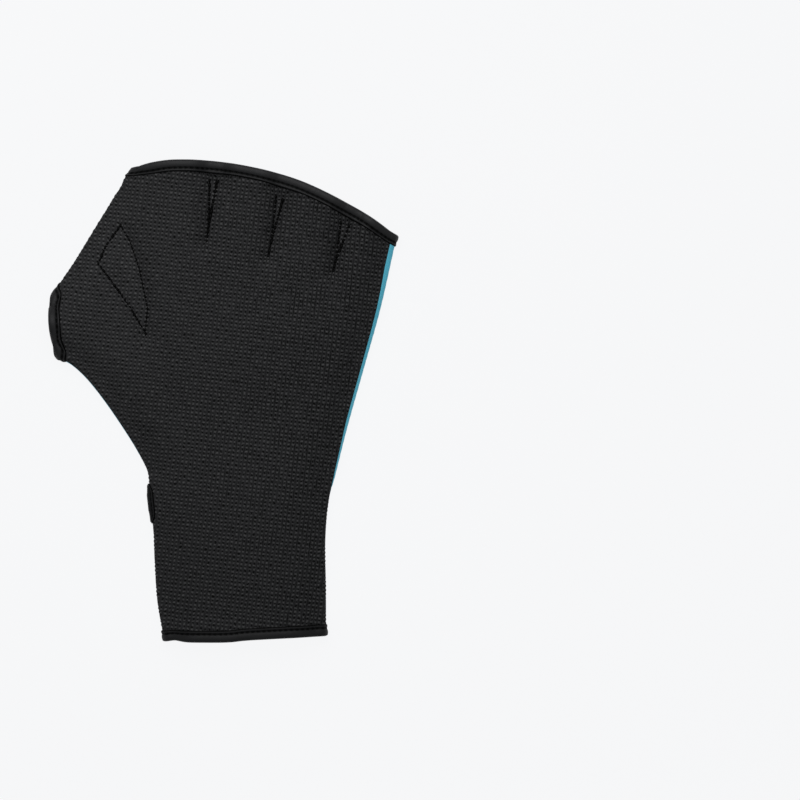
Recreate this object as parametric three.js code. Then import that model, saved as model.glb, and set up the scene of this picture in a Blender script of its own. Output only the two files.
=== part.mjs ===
// Webbed aqua fitness glove for the left hand, lying palm up.
// An embossed palm panel and a smooth back panel of neoprene are sewn together along three rolled sides.
// Folded tape binds the mouth of the four fingers, the thumb mouth, the wrist hem and a small slit at the
// wrist. Three narrow stitched wedges and one stitched kite tie the two panels together between the fingers
// and beside the thumb. X runs across the hand, Y from the wrist to the fingertips, Z up out of the palm. The
// back panel lies on Z = 0.
import * as THREE from 'three';

// Driving sizes, in millimetres
const WALL = 2; // neoprene panel
const FIT = 0.3; // gap between neighbouring pieces
const TAPE = 0.6; // binding tape
const TAPE_FIT = 0.4; // between the tape and the panel that it covers
const TAPE_DEPTH = 5; // how far the tape covers a panel's edge
const SLIT_TAPE_DEPTH = 3;
const SLIT_TAPE_END = 0.6; // share of that depth at the ends of the slit
const ROLL = 2.6; // radius of a rolled side, to the middle of the wall
const TAPE_LIFT = 1.05; // a taped edge holds the back panel this much off the ground
const LIFT_FADE = 8; // over which the back panel comes down again behind the tape
const TACK_GAP = WALL + FIT; // between the middles of the two walls where they are stitched together
const TACK_REACH = 10; // how far a stitched line pulls the panels in
const TACK_RISE = 3.6; // how far the back panel is drawn up at a stitched line
const TACK_FADE = 6; // a rolled side is stiff, so a stitched line doesn't pull it within this
const SIDE_SWELL = 8; // distance from a side over which the panels swell apart
const THUMB_SWELL = { distance: 5, fromX: -88, toX: -60 }; // sooner at the thumb mouth
const CORNER_RUN = 5.5; // a side stays rolled this far under the tape of the thumb mouth

// How far the panels swell apart beyond the rolled sides, by place along the hand
const SWELL = [
  { y: -121, height: 4.5 },
  { y: -90, height: 5.6 },
  { y: 0, height: 6.4 },
  { y: 55, height: 6 },
  { y: 90, height: 6.2 },
  { y: 121, height: 5.4 },
];

// The outline of each closed side seen from above, from the wrist end to the finger end, running on under the
// tapes; and the angle round the roll, from the top, at which the palm panel meets the back panel
const SIDES = {
  little: {
    outward: 1,
    outline: [[51.4, -122], [51.4, -95], [51.1, -69], [52.9, -49], [56.1, -37], [62.4, -12], [71, 18.6],
      [78.6, 46], [85.3, 75.6], [88.3, 89]],
    seam: [[-60, 118], [-48, 94], [-42, 62], [-35, 48], [-20, 42], [-10, 35], [20, 32], [46, 26], [56, 21],
      [66, 14], [76, 15]],
  },
  crotch: {
    outward: -1,
    outline: [[-29.2, -122], [-30.3, -115.8], [-33.1, -99.4], [-34.4, -79.4], [-35, -64.4], [-36.6, -50],
      [-37.6, -36.4], [-41, -28.6], [-47.6, -17.4], [-58.4, -1.4], [-68.1, 10.9], [-76.6, 18.8],
      [-82.9, 23.2], [-88.9, 27.9]],
    seam: [[-38, 110], [-30, 72], [-20, 68], [30, 68]],
  },
  index: {
    outward: -1,
    outline: [[-88.8, 49], [-83.9, 55.3], [-79.6, 62.2], [-74.1, 70.4], [-63.6, 87.6], [-56.2, 99.6],
      [-50.7, 109.6], [-46.6, 116.6], [-43.6, 121.8]],
    seam: [[50, 118], [120, 118]],
  },
};

// Trimmed edges of the panels between the rolled sides
const FINGER_HEM = {
  leftY: 118.7,
  rightY: 83.2,
  between: [[-24, 119.6], [3.4, 117.9], [35.9, 110.1], [65.9, 95.7]],
};
const WRIST_HEM = {
  leftY: -120,
  rightY: -116.6,
  between: [[-13, -119.5], [2.4, -119.4], [14.4, -118.3]],
};
const THUMB_MOUTH = {
  crotchY: 22.8,
  indexY: 55.1,
  between: [[-84.7, 29.8], [-85.9, 38], [-86.1, 45], [-85.5, 50.3]],
};
const WRIST_SLIT = { lowY: -61.5, highY: -43, halfWidth: 1.5 };

// Where the two panels are stitched together: outlines of the three wedges and of the kite beside the thumb.
// The panels may puff apart again inside an outline, by a share of what they do outside it.
const TACKS = [
  { name: 'index_wedge', puff: 0, outline: [[-7.1, 110.6], [-2.4, 110.1], [-8.1, 79.6]] },
  { name: 'middle_wedge', puff: 0, outline: [[26.1, 102.6], [30.4, 100.6], [22.6, 72.4]] },
  { name: 'ring_wedge', puff: 0, outline: [[58.4, 89.6], [63.4, 87.6], [54.9, 64.6]] },
  { name: 'thumb_kite', puff: 0.35, outline: [[-51.1, 88.1], [-58.6, 77.6], [-62.5, 68.6], [-46.9, 47.1],
    [-38.6, 33.1], [-37.4, 46.6], [-41.6, 66.6], [-46, 79.6]] },
];

// Lines down the hand that columns of the mesh follow: each starts along a wedge and runs on to the wrist
const GUIDES = [
  [[-15.6, -124], [-14.1, 0.6], [-11.6, 50.6], [-8.1, 79.6], [-4.6, 112], [-3.6, 125]],
  [[5.4, -124], [9.4, -39.4], [19.4, 35.6], [22.6, 72.4], [28.2, 102], [31.5, 119]],
  [[27.4, -124], [33.4, -39.4], [47.4, 25.6], [54.9, 64.6], [60.9, 89], [64, 101]],
];
const COLUMNS_BETWEEN_GUIDES = [8, 4, 4, 3];
const ROLL_STEPS = 3;
const HEM_CORNER = 1 / 16; // share of a hem over which its inner edge turns to follow the side

// Rows of the mesh from the wrist to the fingertips: each stretch starts at a height on the thumb side and
// one on the little-finger side. The fractions place rows along the thumb mouth, closer at its corners.
const STRETCHES = [
  { side: 'crotch', from: -108, to: WRIST_SLIT.lowY, rightFrom: -106, rightTo: -62, steps: 4 },
  { side: 'crotch', from: WRIST_SLIT.highY, to: 15, rightFrom: -45, rightTo: -6, steps: 7 },
  { side: 'index', from: 62, to: 106, rightFrom: 34, rightTo: 72, steps: 5 },
];
const MOUTH_ROWS = [0, 0.06, 0.13, 0.25, 0.42, 0.6, 0.76, 0.88, 0.94, 1];
const MOUTH_TAPE = [0, 0.025, 0.05, 0.075, 0.1, 0.13, 0.18, 0.25, 0.42, 0.6, 0.76, 0.82, 0.88, 0.91, 0.94,
  0.97, 1];
const MOUTH_RIGHT_Y = [0, 28];
const MOUTH_CORNER = 0.17; // share of the mouth over which the tape turns to run along the rolled side
// Degrees round the round ends of the slit, for the panels and for the tape
const SLIT_END_ROWS = [0, 45, 90];
const SLIT_END_TAPE = [0, 22.5, 45, 67.5, 90];

// Steps along the lines that distances are measured from
const OUTLINE_STEPS = 160;
const FINGER_HEM_STEPS = 48;
const WRIST_HEM_STEPS = 24;
const MOUTH_STEPS = 16;
const SLOPE_STEP = 0.2; // to either side, for the slope of a panel
const HALVINGS = 24; // of a row, to find where a guide crosses it

const MATERIALS = {
  palm: { color: 0x29292b, roughness: 0.85, metalness: 0 },
  back: { color: 0x4b8ea5, roughness: 0.75, metalness: 0 },
  tape: { color: 0x17171a, roughness: 0.6, metalness: 0 },
};

const clamp = THREE.MathUtils.clamp;
const lerp = THREE.MathUtils.lerp;
const vec = (x, y) => new THREE.Vector2(x, y);
const mix = (a, b, t) => vec(lerp(a.x, b.x, t), lerp(a.y, b.y, t));
const ahead = (point, direction, length) =>
  vec(point.x + direction.x * length, point.y + direction.y * length);
const smooth = (t) => THREE.MathUtils.smoothstep(t, 0, 1);
const easeOut = (t) => Math.min(t, 1) * (2 - Math.min(t, 1));

// A value read from a table of [place, value] rows, straight between rows and level beyond them
function fromTable(rows, place) {
  const k = rows.findIndex((row) => row[0] >= place);
  if (k === -1) return rows[rows.length - 1][1];
  if (k === 0) return rows[0][1];
  const [before, after] = [rows[k - 1], rows[k]];
  return lerp(before[1], after[1], (place - before[0]) / (after[0] - before[0]));
}

// A rolled side: the line that the wall rolls round, with its outward direction, at even steps
function makeSide({ outline, outward, seam }) {
  const curve = new THREE.SplineCurve(outline.map(([x, y]) => vec(x, y)));
  const line = [];
  for (let k = 0; k <= OUTLINE_STEPS; k++) {
    const edge = curve.getPointAt(k / OUTLINE_STEPS);
    const along = curve.getTangentAt(k / OUTLINE_STEPS);
    const out = vec(along.y * outward, -along.x * outward);
    line.push({ y: edge.y, along, out, axis: ahead(edge, out, -(ROLL + WALL / 2)) });
  }
  return { line, seam };
}
const side = Object.fromEntries(Object.entries(SIDES).map(([name, made]) => [name, makeSide(made)]));

// The roll line of a side at a height on its outline
function sideAt(which, y) {
  const line = which.line;
  const k = clamp(line.findIndex((place) => place.y >= y), 1, line.length - 1);
  const [before, after] = [line[k - 1], line[k]];
  const t = (y - before.y) / (after.y - before.y);
  return {
    axis: mix(before.axis, after.axis, t),
    out: mix(before.out, after.out, t).normalize(),
    along: mix(before.along, after.along, t).normalize(),
  };
}

// Places on a panel are given on the flat cloth: inside the roll lines as seen from above, and past a roll
// line by the length of cloth that has gone round the roll
function onSide(which, y, reach) {
  const place = sideAt(which, y);
  return ahead(place.axis, place.out, reach);
}

// The nearest place on a side's roll line, and how far past it a point of the cloth lies
function footOn(which, point) {
  let best = { distance: Infinity };
  for (let k = 1; k < which.line.length; k++) {
    const [a, b] = [which.line[k - 1], which.line[k]];
    const run = vec(b.axis.x - a.axis.x, b.axis.y - a.axis.y);
    const t = clamp(vec(point.x - a.axis.x, point.y - a.axis.y).dot(run) / run.lengthSq(), 0, 1);
    const axis = mix(a.axis, b.axis, t);
    const distance = axis.distanceTo(point);
    if (distance < best.distance) best = { distance, axis, out: mix(a.out, b.out, t).normalize() };
  }
  best.past = best.distance * Math.sign(vec(point.x - best.axis.x, point.y - best.axis.y).dot(best.out));
  return best;
}

function nearestSide(point) {
  const feet = Object.values(side).map((which) => footOn(which, point));
  return feet.reduce((a, b) => (a.distance < b.distance ? a : b));
}

// The nearest place on a line of points, its distance, and the line's direction there
function nearestOnLine(line, point) {
  let best = { distance: Infinity };
  for (let k = 1; k < line.length; k++) {
    const run = vec(line[k].x - line[k - 1].x, line[k].y - line[k - 1].y);
    const from = vec(point.x - line[k - 1].x, point.y - line[k - 1].y);
    const at = mix(line[k - 1], line[k], clamp(from.dot(run) / run.lengthSq(), 0, 1));
    const distance = at.distanceTo(point);
    if (distance < best.distance) best = { distance, at, along: run.normalize() };
  }
  return best;
}

function isInside(outline, point) {
  let inside = false;
  outline.forEach((a, k) => {
    const b = outline[(k + 1) % outline.length];
    const crosses = a.y > point.y !== b.y > point.y;
    if (crosses && point.x < ((b.x - a.x) * (point.y - a.y)) / (b.y - a.y) + a.x) inside = !inside;
  });
  return inside;
}

// The two hems, from the thumb side's roll line to the little-finger side's
function makeHem({ leftY, rightY, between }, leftSide) {
  const ends = [onSide(leftSide, leftY, 0), onSide(side.little, rightY, 0)];
  return new THREE.SplineCurve([ends[0], ...between.map(([x, y]) => vec(x, y)), ends[1]]);
}
const fingerHem = makeHem(FINGER_HEM, side.index);
const wristHem = makeHem(WRIST_HEM, side.crotch);

// Lines behind which the back panel is held up by a tape, and how wide the tape is there
const slitY = (WRIST_SLIT.lowY + WRIST_SLIT.highY) / 2;
const hemLines = [
  { line: fingerHem.getSpacedPoints(FINGER_HEM_STEPS), width: TAPE_DEPTH, inward: -1 },
  { line: wristHem.getSpacedPoints(WRIST_HEM_STEPS), width: TAPE_DEPTH, inward: 1 },
];
const mouthLine = new THREE.SplineCurve([
  onSide(side.crotch, THUMB_MOUTH.crotchY, 0),
  ...THUMB_MOUTH.between.map(([x, y]) => vec(x, y)),
  onSide(side.index, THUMB_MOUTH.indexY, 0),
]);
const slitLine = [WRIST_SLIT.lowY, slitY, WRIST_SLIT.highY].map((y) => onSide(side.crotch, y, 0));
const tapedLines = [
  ...hemLines,
  { line: mouthLine.getSpacedPoints(MOUTH_STEPS), width: TAPE_DEPTH },
  { line: slitLine, width: SLIT_TAPE_DEPTH },
];
const tacks = TACKS.map(({ puff, outline }) => ({ puff, outline: outline.map(([x, y]) => vec(x, y)) }));

// The roll lines without the stretches that run on across the thumb mouth
const isSewn = {
  little: () => true,
  crotch: ({ y, along }) => y < THUMB_MOUTH.crotchY + CORNER_RUN * along.y,
  index: ({ y, along }) => y > THUMB_MOUTH.indexY - CORNER_RUN * along.y,
};
const sewnLines = Object.entries(side).map(([name, { line }]) =>
  line.filter(isSewn[name]).map(({ axis }) => axis));

// How strongly the stitched outlines pull the panels together at a point, from 0 to 1
function pullAt(point, reach) {
  let pull = 0;
  for (const { puff, outline } of tacks) {
    const away = nearestOnLine([...outline, outline[0]], point).distance;
    const share = isInside(outline, point) ? puff : 1;
    pull = Math.max(pull, 1 - easeOut((away * share) / reach));
  }
  return pull;
}

// A taped hem is stiff across its width: its heights are those at the tape's inner edge
function behindTape(point) {
  for (const { line, width, inward } of hemLines) {
    const { at, along, distance } = nearestOnLine(line, point);
    const normal = vec(-along.y * inward, along.x * inward);
    const depth = vec(point.x - at.x, point.y - at.y).dot(normal);
    if (depth < width && distance < width) return ahead(point, normal, width - depth);
  }
  return point;
}

// Height of the middle of the back panel, and of the space between the middles of the two panels
function heightsAt(place) {
  const point = behindTape(place);
  const away = Math.min(...sewnLines.map((line) => nearestOnLine(line, point).distance));
  const grip = smooth(away / TACK_FADE);
  const lift = Math.max(...tapedLines.map(({ line, width }) =>
    1 - smooth((nearestOnLine(line, point).distance - width) / LIFT_FADE)));
  const rise = TACK_RISE * pullAt(point, TACK_REACH) * grip;
  const swell = fromTable(SWELL.map(({ y, height }) => [y, height]), point.y);
  const { distance, fromX, toX } = THUMB_SWELL;
  const reach = lerp(distance, SIDE_SWELL, smooth((point.x - fromX) / (toX - fromX)));
  const open = 2 * ROLL + swell * (1 - Math.exp(-((away / reach) ** 2)));
  const back = WALL / 2 + Math.max(TAPE_LIFT * lift, rise);
  return { back, gap: lerp(open, TACK_GAP, pullAt(point, TACK_REACH) * grip) };
}

const layers = {
  palm: { up: 1, height: (h) => h.back + h.gap, reach: (angle) => ROLL * angle - FIT / 2 },
  back: { up: -1, height: (h) => h.back, reach: (angle) => ROLL * (Math.PI - angle) - FIT / 2 },
};

// How far a panel's cloth runs past the roll line before it meets the other panel
function seamReach(layer, which, y) {
  return layer.reach(THREE.MathUtils.degToRad(fromTable(which.seam, y)));
}

// The middle of a panel's wall at a place on its cloth, and the direction out of the glove there
function wallAt(layer, point) {
  const foot = nearestSide(point);
  if (foot.past > 0) {
    const angle = foot.past / ROLL;
    const middle = heightsAt(foot.axis).back + ROLL;
    const [across, upward] = [Math.sin(angle), layer.up * Math.cos(angle)];
    const place = ahead(foot.axis, foot.out, ROLL * across);
    return {
      at: new THREE.Vector3(place.x, place.y, middle + ROLL * upward),
      out: new THREE.Vector3(foot.out.x * across, foot.out.y * across, upward),
    };
  }
  const step = SLOPE_STEP;
  const height = (dx, dy) => layer.height(heightsAt(vec(point.x + dx, point.y + dy)));
  const slopeX = (height(step, 0) - height(-step, 0)) / (2 * step);
  const slopeY = (height(0, step) - height(0, -step)) / (2 * step);
  return {
    at: new THREE.Vector3(point.x, point.y, height(0, 0)),
    out: new THREE.Vector3(-slopeX * layer.up, -slopeY * layer.up, layer.up).normalize(),
  };
}

// One row of cloth places: round the thumb side's roll, along the row between the guides, round the far roll.
// left and right give the places from the roll's end to the start of the middle stretch, middle(u) the rest.
function makeRow(left, middle, right) {
  const stops = [0, ...GUIDES.map((guide) => crossing(middle, guide)), 1];
  const row = [];
  for (let k = 0; k < ROLL_STEPS; k++) row.push(left(k / ROLL_STEPS));
  COLUMNS_BETWEEN_GUIDES.forEach((count, span) => {
    for (let k = 0; k < count; k++) row.push(middle(lerp(stops[span], stops[span + 1], k / count)));
  });
  for (let k = ROLL_STEPS; k >= 0; k--) row.push(k === ROLL_STEPS ? middle(1) : right(k / ROLL_STEPS));
  return row;
}

// The fraction along a row at which it crosses a guide line
function crossing(middle, guide) {
  const table = guide.map(([x, y]) => [y, x]);
  let [low, high] = [0, 1];
  for (let k = 0; k < HALVINGS; k++) {
    const u = (low + high) / 2;
    const point = middle(u);
    if (point.x < fromTable(table, point.y)) low = u;
    else high = u;
  }
  return low;
}

// A row that ends at the seams. bow draws the upper rows towards the curve of the finger hem.
const hemChord = [fingerHem.getPointAt(0), fingerHem.getPointAt(1)];
function sewnRow(layer, leftSide, leftY, rightY, bow) {
  const reaches = [seamReach(layer, leftSide, leftY), seamReach(layer, side.little, rightY)];
  const ends = [onSide(leftSide, leftY, 0), onSide(side.little, rightY, 0)];
  const middle = (u) => {
    const bend = fingerHem.getPointAt(u).sub(mix(hemChord[0], hemChord[1], u));
    return ahead(mix(ends[0], ends[1], u), bend, bow);
  };
  return makeRow(
    (t) => onSide(leftSide, leftY, reaches[0] * (1 - t)),
    middle,
    (t) => onSide(side.little, rightY, reaches[1] * (1 - t)),
  );
}

// A row along a hem, or at a depth inside it. Past the roll lines the cut runs straight on, seen from above.
function hemRow(layer, hem, leftSide, { leftY, rightY }, depth, inward) {
  const end = (which, y, tangent) => (t) => {
    const place = sideAt(which, y);
    const angle = seamReach(layer, which, y) * (1 - t) / ROLL;
    const slant = place.along.dot(tangent) / place.out.dot(tangent);
    const shift = slant * ROLL * Math.sin(angle) + inward * depth;
    return onSide(which, y + shift * place.along.y, ROLL * angle);
  };
  const leftEnd = end(leftSide, leftY, hem.getTangentAt(0).negate());
  const rightEnd = end(side.little, rightY, hem.getTangentAt(1));
  const middle = (u) => {
    const tangent = hem.getTangentAt(u);
    const normal = vec(-tangent.y * inward, tangent.x * inward);
    const blend = smooth(Math.min(u, 1 - u) / HEM_CORNER);
    const corner = u < 0.5 ? leftEnd(1) : rightEnd(1);
    const start = hem.getPointAt(u < 0.5 ? 0 : 1);
    const slide = vec(corner.x - start.x, corner.y - start.y);
    const point = hem.getPointAt(u);
    return vec(
      point.x + lerp(slide.x, normal.x * depth, blend),
      point.y + lerp(slide.y, normal.y * depth, blend),
    );
  };
  return makeRow(leftEnd, middle, rightEnd);
}

// The thumb mouth: the trimmed edge of a panel and the direction into the cloth at each row
function mouthEdge(layer, fractions) {
  const ends = [side.crotch, side.index].map((which, k) => {
    const y = [THUMB_MOUTH.crotchY, THUMB_MOUTH.indexY][k];
    return onSide(which, y, seamReach(layer, which, y));
  });
  const curve = new THREE.SplineCurve([ends[0], ...THUMB_MOUTH.between.map(([x, y]) => vec(x, y)), ends[1]]);
  return fractions.map((f) => {
    const tangent = curve.getTangentAt(f);
    return { edge: curve.getPointAt(f), into: vec(tangent.y, -tangent.x), f };
  });
}

function mouthRow(layer, { edge, into, f }) {
  const inner = ahead(edge, into, TAPE_DEPTH + FIT);
  const rightY = lerp(MOUTH_RIGHT_Y[0], MOUTH_RIGHT_Y[1], f);
  const far = onSide(side.little, rightY, 0);
  const reach = seamReach(layer, side.little, rightY);
  return makeRow(
    (t) => mix(edge, inner, t),
    (u) => mix(inner, far, u),
    (t) => onSide(side.little, rightY, reach * (1 - t)),
  );
}

// The wrist slit: the panels are cut back from the seam, with round ends. turn is the direction into the
// cloth: its share along the side and its share back from the seam.
function slitEdge(layer, degrees) {
  const { lowY, highY, halfWidth } = WRIST_SLIT;
  const end = (y, sign) => (angle) => {
    const [cos, sin] = [Math.cos(THREE.MathUtils.degToRad(angle)), Math.sin(THREE.MathUtils.degToRad(angle))];
    const place = y + sign * halfWidth * (1 - cos);
    const reach = seamReach(layer, side.crotch, place) - halfWidth * sin;
    return { y: place, reach, turn: [-sign * cos, sin] };
  };
  const middle = { ...end(slitY, 0)(90), turn: [0, 1] };
  return [...degrees.map(end(lowY, 1)), middle, ...degrees.map(end(highY, -1)).reverse()];
}

function slitRow(layer, { y, reach }) {
  const far = onSide(side.little, y, 0);
  const near = onSide(side.crotch, y, 0);
  const farReach = seamReach(layer, side.little, y);
  return makeRow(
    (t) => onSide(side.crotch, y, reach * (1 - t)),
    (u) => mix(near, far, u),
    (t) => onSide(side.little, y, farReach * (1 - t)),
  );
}

// All rows of one panel, from the wrist hem to the finger hem
function panelRows(layer) {
  const [wrist, crotch, index] = STRETCHES.map(({ side: name, from, to, rightFrom, rightTo, steps }) =>
    Array.from({ length: steps + 1 }, (_, k) => {
      const bow = name === 'index' ? ((k + 1) / (steps + 2)) ** 2 : 0;
      const [leftY, rightY] = [lerp(from, to, k / steps), lerp(rightFrom, rightTo, k / steps)];
      return () => sewnRow(layer, side[name], leftY, rightY, bow);
    }));
  return [
    hemRow(layer, wristHem, side.crotch, WRIST_HEM, 0, 1),
    hemRow(layer, wristHem, side.crotch, WRIST_HEM, TAPE_DEPTH, 1),
    ...wrist.slice(0, -1).map((row) => row()),
    ...slitEdge(layer, SLIT_END_ROWS).map((place) => slitRow(layer, place)),
    ...crotch.slice(1).map((row) => row()),
    ...mouthEdge(layer, MOUTH_ROWS).map((place) => mouthRow(layer, place)),
    ...index.map((row) => row()),
    hemRow(layer, fingerHem, side.index, FINGER_HEM, TAPE_DEPTH, -1),
    hemRow(layer, fingerHem, side.index, FINGER_HEM, 0, -1),
  ];
}

function makeGeometry(points, faces) {
  const geometry = new THREE.BufferGeometry();
  const numbers = points.flatMap((p) => [p.x, p.y, p.z]);
  geometry.setAttribute('position', new THREE.Float32BufferAttribute(numbers, 3));
  geometry.setIndex(faces);
  return geometry;
}

// A closed loop of rings, each a list of points, in which the last ring joins the first
function ringMesh(rings) {
  const count = rings[0].length;
  const faces = [];
  rings.forEach((_, i) => {
    const next = (i + 1) % rings.length;
    for (let k = 0; k < count; k++) {
      const [a, b] = [i * count + k, i * count + ((k + 1) % count)];
      const [c, d] = [next * count + k, next * count + ((k + 1) % count)];
      faces.push(a, b, c, b, d, c);
    }
  });
  return makeGeometry(rings.flat(), faces);
}

// A panel: its outer and inner faces on the same rows, joined by a rim
function panelGeometry(layer) {
  const rows = panelRows(layer);
  const [height, width] = [rows.length, rows[0].length];
  const walls = rows.flat().map((place) => wallAt(layer, place));
  const outer = walls.map(({ at, out }) => at.clone().addScaledVector(out, WALL / 2));
  const inner = walls.map(({ at, out }) => at.clone().addScaledVector(out, -WALL / 2));
  const faces = [];
  const quad = (a, b, c, d) => (layer.up > 0 ? faces.push(a, b, c, a, c, d) : faces.push(a, c, b, a, d, c));
  const shift = outer.length;
  for (let i = 0; i + 1 < height; i++) {
    for (let j = 0; j + 1 < width; j++) {
      const [a, b, c, d] = [i * width + j, i * width + j + 1, (i + 1) * width + j + 1, (i + 1) * width + j];
      quad(a, b, c, d);
      quad(shift + a, shift + d, shift + c, shift + b);
    }
  }
  const rim = [];
  for (let j = 0; j < width; j++) rim.push(j);
  for (let i = 1; i < height; i++) rim.push(i * width + width - 1);
  for (let j = width - 2; j >= 0; j--) rim.push((height - 1) * width + j);
  for (let i = height - 2; i > 0; i--) rim.push(i * width);
  rim.forEach((a, k) => {
    const b = rim[(k + 1) % rim.length];
    quad(a, shift + a, shift + b, b);
  });
  return makeGeometry([...outer, ...inner], faces);
}

// One section of folded tape: two legs either side of the wall, from the trimmed edge into the cloth, and the
// fold round the edge. places are cloth places from the edge inwards.
function tapeSection(layer, places) {
  const walls = places.map((place) => wallAt(layer, place));
  const near = WALL / 2 + TAPE_FIT;
  const far = near + TAPE;
  const [edge, next] = walls;
  const away = edge.at.clone().sub(next.at);
  away.addScaledVector(edge.out, -away.dot(edge.out)).normalize();
  const leg = (offset) => walls.map(({ at, out }) => at.clone().addScaledVector(out, offset));
  const fold = (beyond, offset) =>
    edge.at.clone().addScaledVector(away, beyond).addScaledVector(edge.out, offset);
  const outerLeg = leg(far).slice(1).reverse();
  const tip = TAPE_FIT + TAPE;
  const outerFold = [fold(TAPE_FIT, far), fold(tip, far - TAPE), fold(tip, TAPE - far), fold(TAPE_FIT, -far)];
  const farLeg = leg(-far).slice(1);
  const nearLeg = leg(-near).slice(1).reverse();
  const innerFold = [fold(TAPE_FIT, -near), fold(TAPE_FIT, near)];
  return [...outerLeg, ...outerFold, ...farLeg, ...nearLeg, ...innerFold, ...leg(near).slice(1)];
}

// Tape round a hem: along the palm panel's edge and back along the back panel's, on the panels' own rows
function hemTape(hem, leftSide, place, inward) {
  const edges = Object.values(layers).map((layer) => {
    const [edge, inner] = [0, TAPE_DEPTH].map((depth) => hemRow(layer, hem, leftSide, place, depth, inward));
    return edge.map((point, k) => tapeSection(layer, [point, inner[k]]));
  });
  const rings = [...edges[0], ...edges[1].reverse()];
  return ringMesh(inward > 0 ? rings : rings.reverse());
}

// Tape round the thumb mouth. At the corners the legs turn to run along the rolled side.
function thumbTape() {
  const sections = (layer) => {
    return mouthEdge(layer, MOUTH_TAPE).map(({ edge, into, f }) => {
      const [which, y, sign] = f < 0.5
        ? [side.crotch, THUMB_MOUTH.crotchY, -1] : [side.index, THUMB_MOUTH.indexY, 1];
      const turned = clamp(1 - Math.min(f, 1 - f) / MOUTH_CORNER, 0, 1);
      const along = sideAt(which, y).along.clone().multiplyScalar(sign);
      const direction = mix(into, along, turned).normalize();
      return tapeSection(layer, [0, 0.5, 1].map((t) => ahead(edge, direction, t * TAPE_DEPTH)));
    });
  };
  return ringMesh([...sections(layers.palm), ...sections(layers.back).reverse()].reverse());
}

// Tape round the wrist slit
function slitTape() {
  const sections = (layer) => slitEdge(layer, SLIT_END_TAPE).map(({ y, reach, turn }) => {
    const depth = SLIT_TAPE_DEPTH * lerp(SLIT_TAPE_END, 1, turn[1]);
    return tapeSection(layer, [0, 0.5, 1].map((t) =>
      onSide(side.crotch, y + turn[0] * t * depth, reach - turn[1] * t * depth)));
  });
  return ringMesh([...sections(layers.palm), ...sections(layers.back).reverse()].reverse());
}

const glove = new THREE.Group();
const addPiece = (name, geometry, look) => {
  const mesh = new THREE.Mesh(geometry, new THREE.MeshStandardMaterial(MATERIALS[look]));
  mesh.name = name;
  glove.add(mesh);
};
addPiece('palm_panel', panelGeometry(layers.palm), 'palm');
addPiece('back_panel', panelGeometry(layers.back), 'back');
addPiece('fingertip_binding', hemTape(fingerHem, side.index, FINGER_HEM, -1), 'tape');
addPiece('wrist_binding', hemTape(wristHem, side.crotch, WRIST_HEM, 1), 'tape');
addPiece('thumb_binding', thumbTape(), 'tape');
addPiece('wrist_slit_binding', slitTape(), 'tape');

export default glove;
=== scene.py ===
# %% [markdown]
# # A webbed aqua fitness glove
# The glove is worn in a pool to push water. It is two panels of 2 mm neoprene, a black embossed palm and a
# smooth blue back, sewn together along three rolled sides. Folded tape binds the open ends. This script
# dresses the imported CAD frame: each cloth or tape piece here takes the place of one CAD node and follows the
# same shape, and thread is added. The sizes of the glove are in millimetres and are turned into metres when
# a mesh is made.

# %% Load the frame
import math

import bpy
import numpy as np
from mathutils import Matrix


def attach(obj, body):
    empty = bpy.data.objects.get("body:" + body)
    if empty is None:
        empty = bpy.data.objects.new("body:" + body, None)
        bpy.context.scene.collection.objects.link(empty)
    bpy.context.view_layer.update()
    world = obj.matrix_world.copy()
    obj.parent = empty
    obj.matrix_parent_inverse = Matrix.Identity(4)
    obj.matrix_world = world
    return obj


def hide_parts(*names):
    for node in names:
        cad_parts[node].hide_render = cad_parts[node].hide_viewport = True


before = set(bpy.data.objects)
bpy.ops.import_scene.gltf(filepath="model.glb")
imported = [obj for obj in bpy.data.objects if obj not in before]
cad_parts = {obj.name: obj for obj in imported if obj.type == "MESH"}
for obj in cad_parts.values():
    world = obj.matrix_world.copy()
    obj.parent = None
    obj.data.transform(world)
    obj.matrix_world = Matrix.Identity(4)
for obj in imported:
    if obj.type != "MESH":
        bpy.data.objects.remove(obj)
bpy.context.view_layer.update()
print("CAD nodes:", sorted(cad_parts))

# %% [markdown]
# ## Sizes of the glove
# The wall, the roll, the tape and the swell of the palm have the same sizes as in the CAD source, so that
# the cloth lies where the solids are. Only the tape of the wrist slit is narrower here, which is closer to
# the real one.

# %% Wall, roll, tape and swell
LAYERS = ("palm", "back")
MM = 0.001
WALL = 2.0  # neoprene panel
FIT = 0.3  # gap between neighbouring pieces
TAPE = 0.6  # binding tape
TAPE_FIT = 0.4  # between the tape and the panel that it covers
TAPE_DEPTH = 5.0  # how far the tape covers a panel's edge
SLIT_TAPE_DEPTH = 2.5
SLIT_TAPE_END = 0.4  # share of that depth at the ends of the slit
ROLL = 2.6  # radius of a rolled side, to the middle of the wall
TAPE_LIFT = 1.05  # a taped edge holds the back panel this much off the table
LIFT_FADE = 8.0  # over which the back panel comes down again behind the tape
TACK_GAP = WALL + FIT  # between the middles of the walls where they are stitched together
TACK_REACH = 10.0  # how far a stitched line pulls the panels in
TACK_RISE = 3.6  # how far the back panel is drawn up at a stitched line
TACK_FADE = 6.0  # a rolled side is stiff, so a stitched line doesn't pull it within this
SIDE_SWELL = 8.0  # distance from a side over which the panels swell apart
THUMB_SWELL = {"distance": 5.0, "from_x": -88.0, "to_x": -60.0}  # sooner at the thumb mouth
CORNER_RUN = 5.5  # a side stays rolled this far under the tape of the thumb mouth
# Rows of the place along the hand and how far the panels swell apart there
SWELL = [[-121, 4.5], [-90, 5.6], [0, 6.4], [55, 6.0], [90, 6.2], [121, 5.4]]
print("a rolled side is", round(2 * ROLL + WALL, 1), "mm high")

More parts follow.
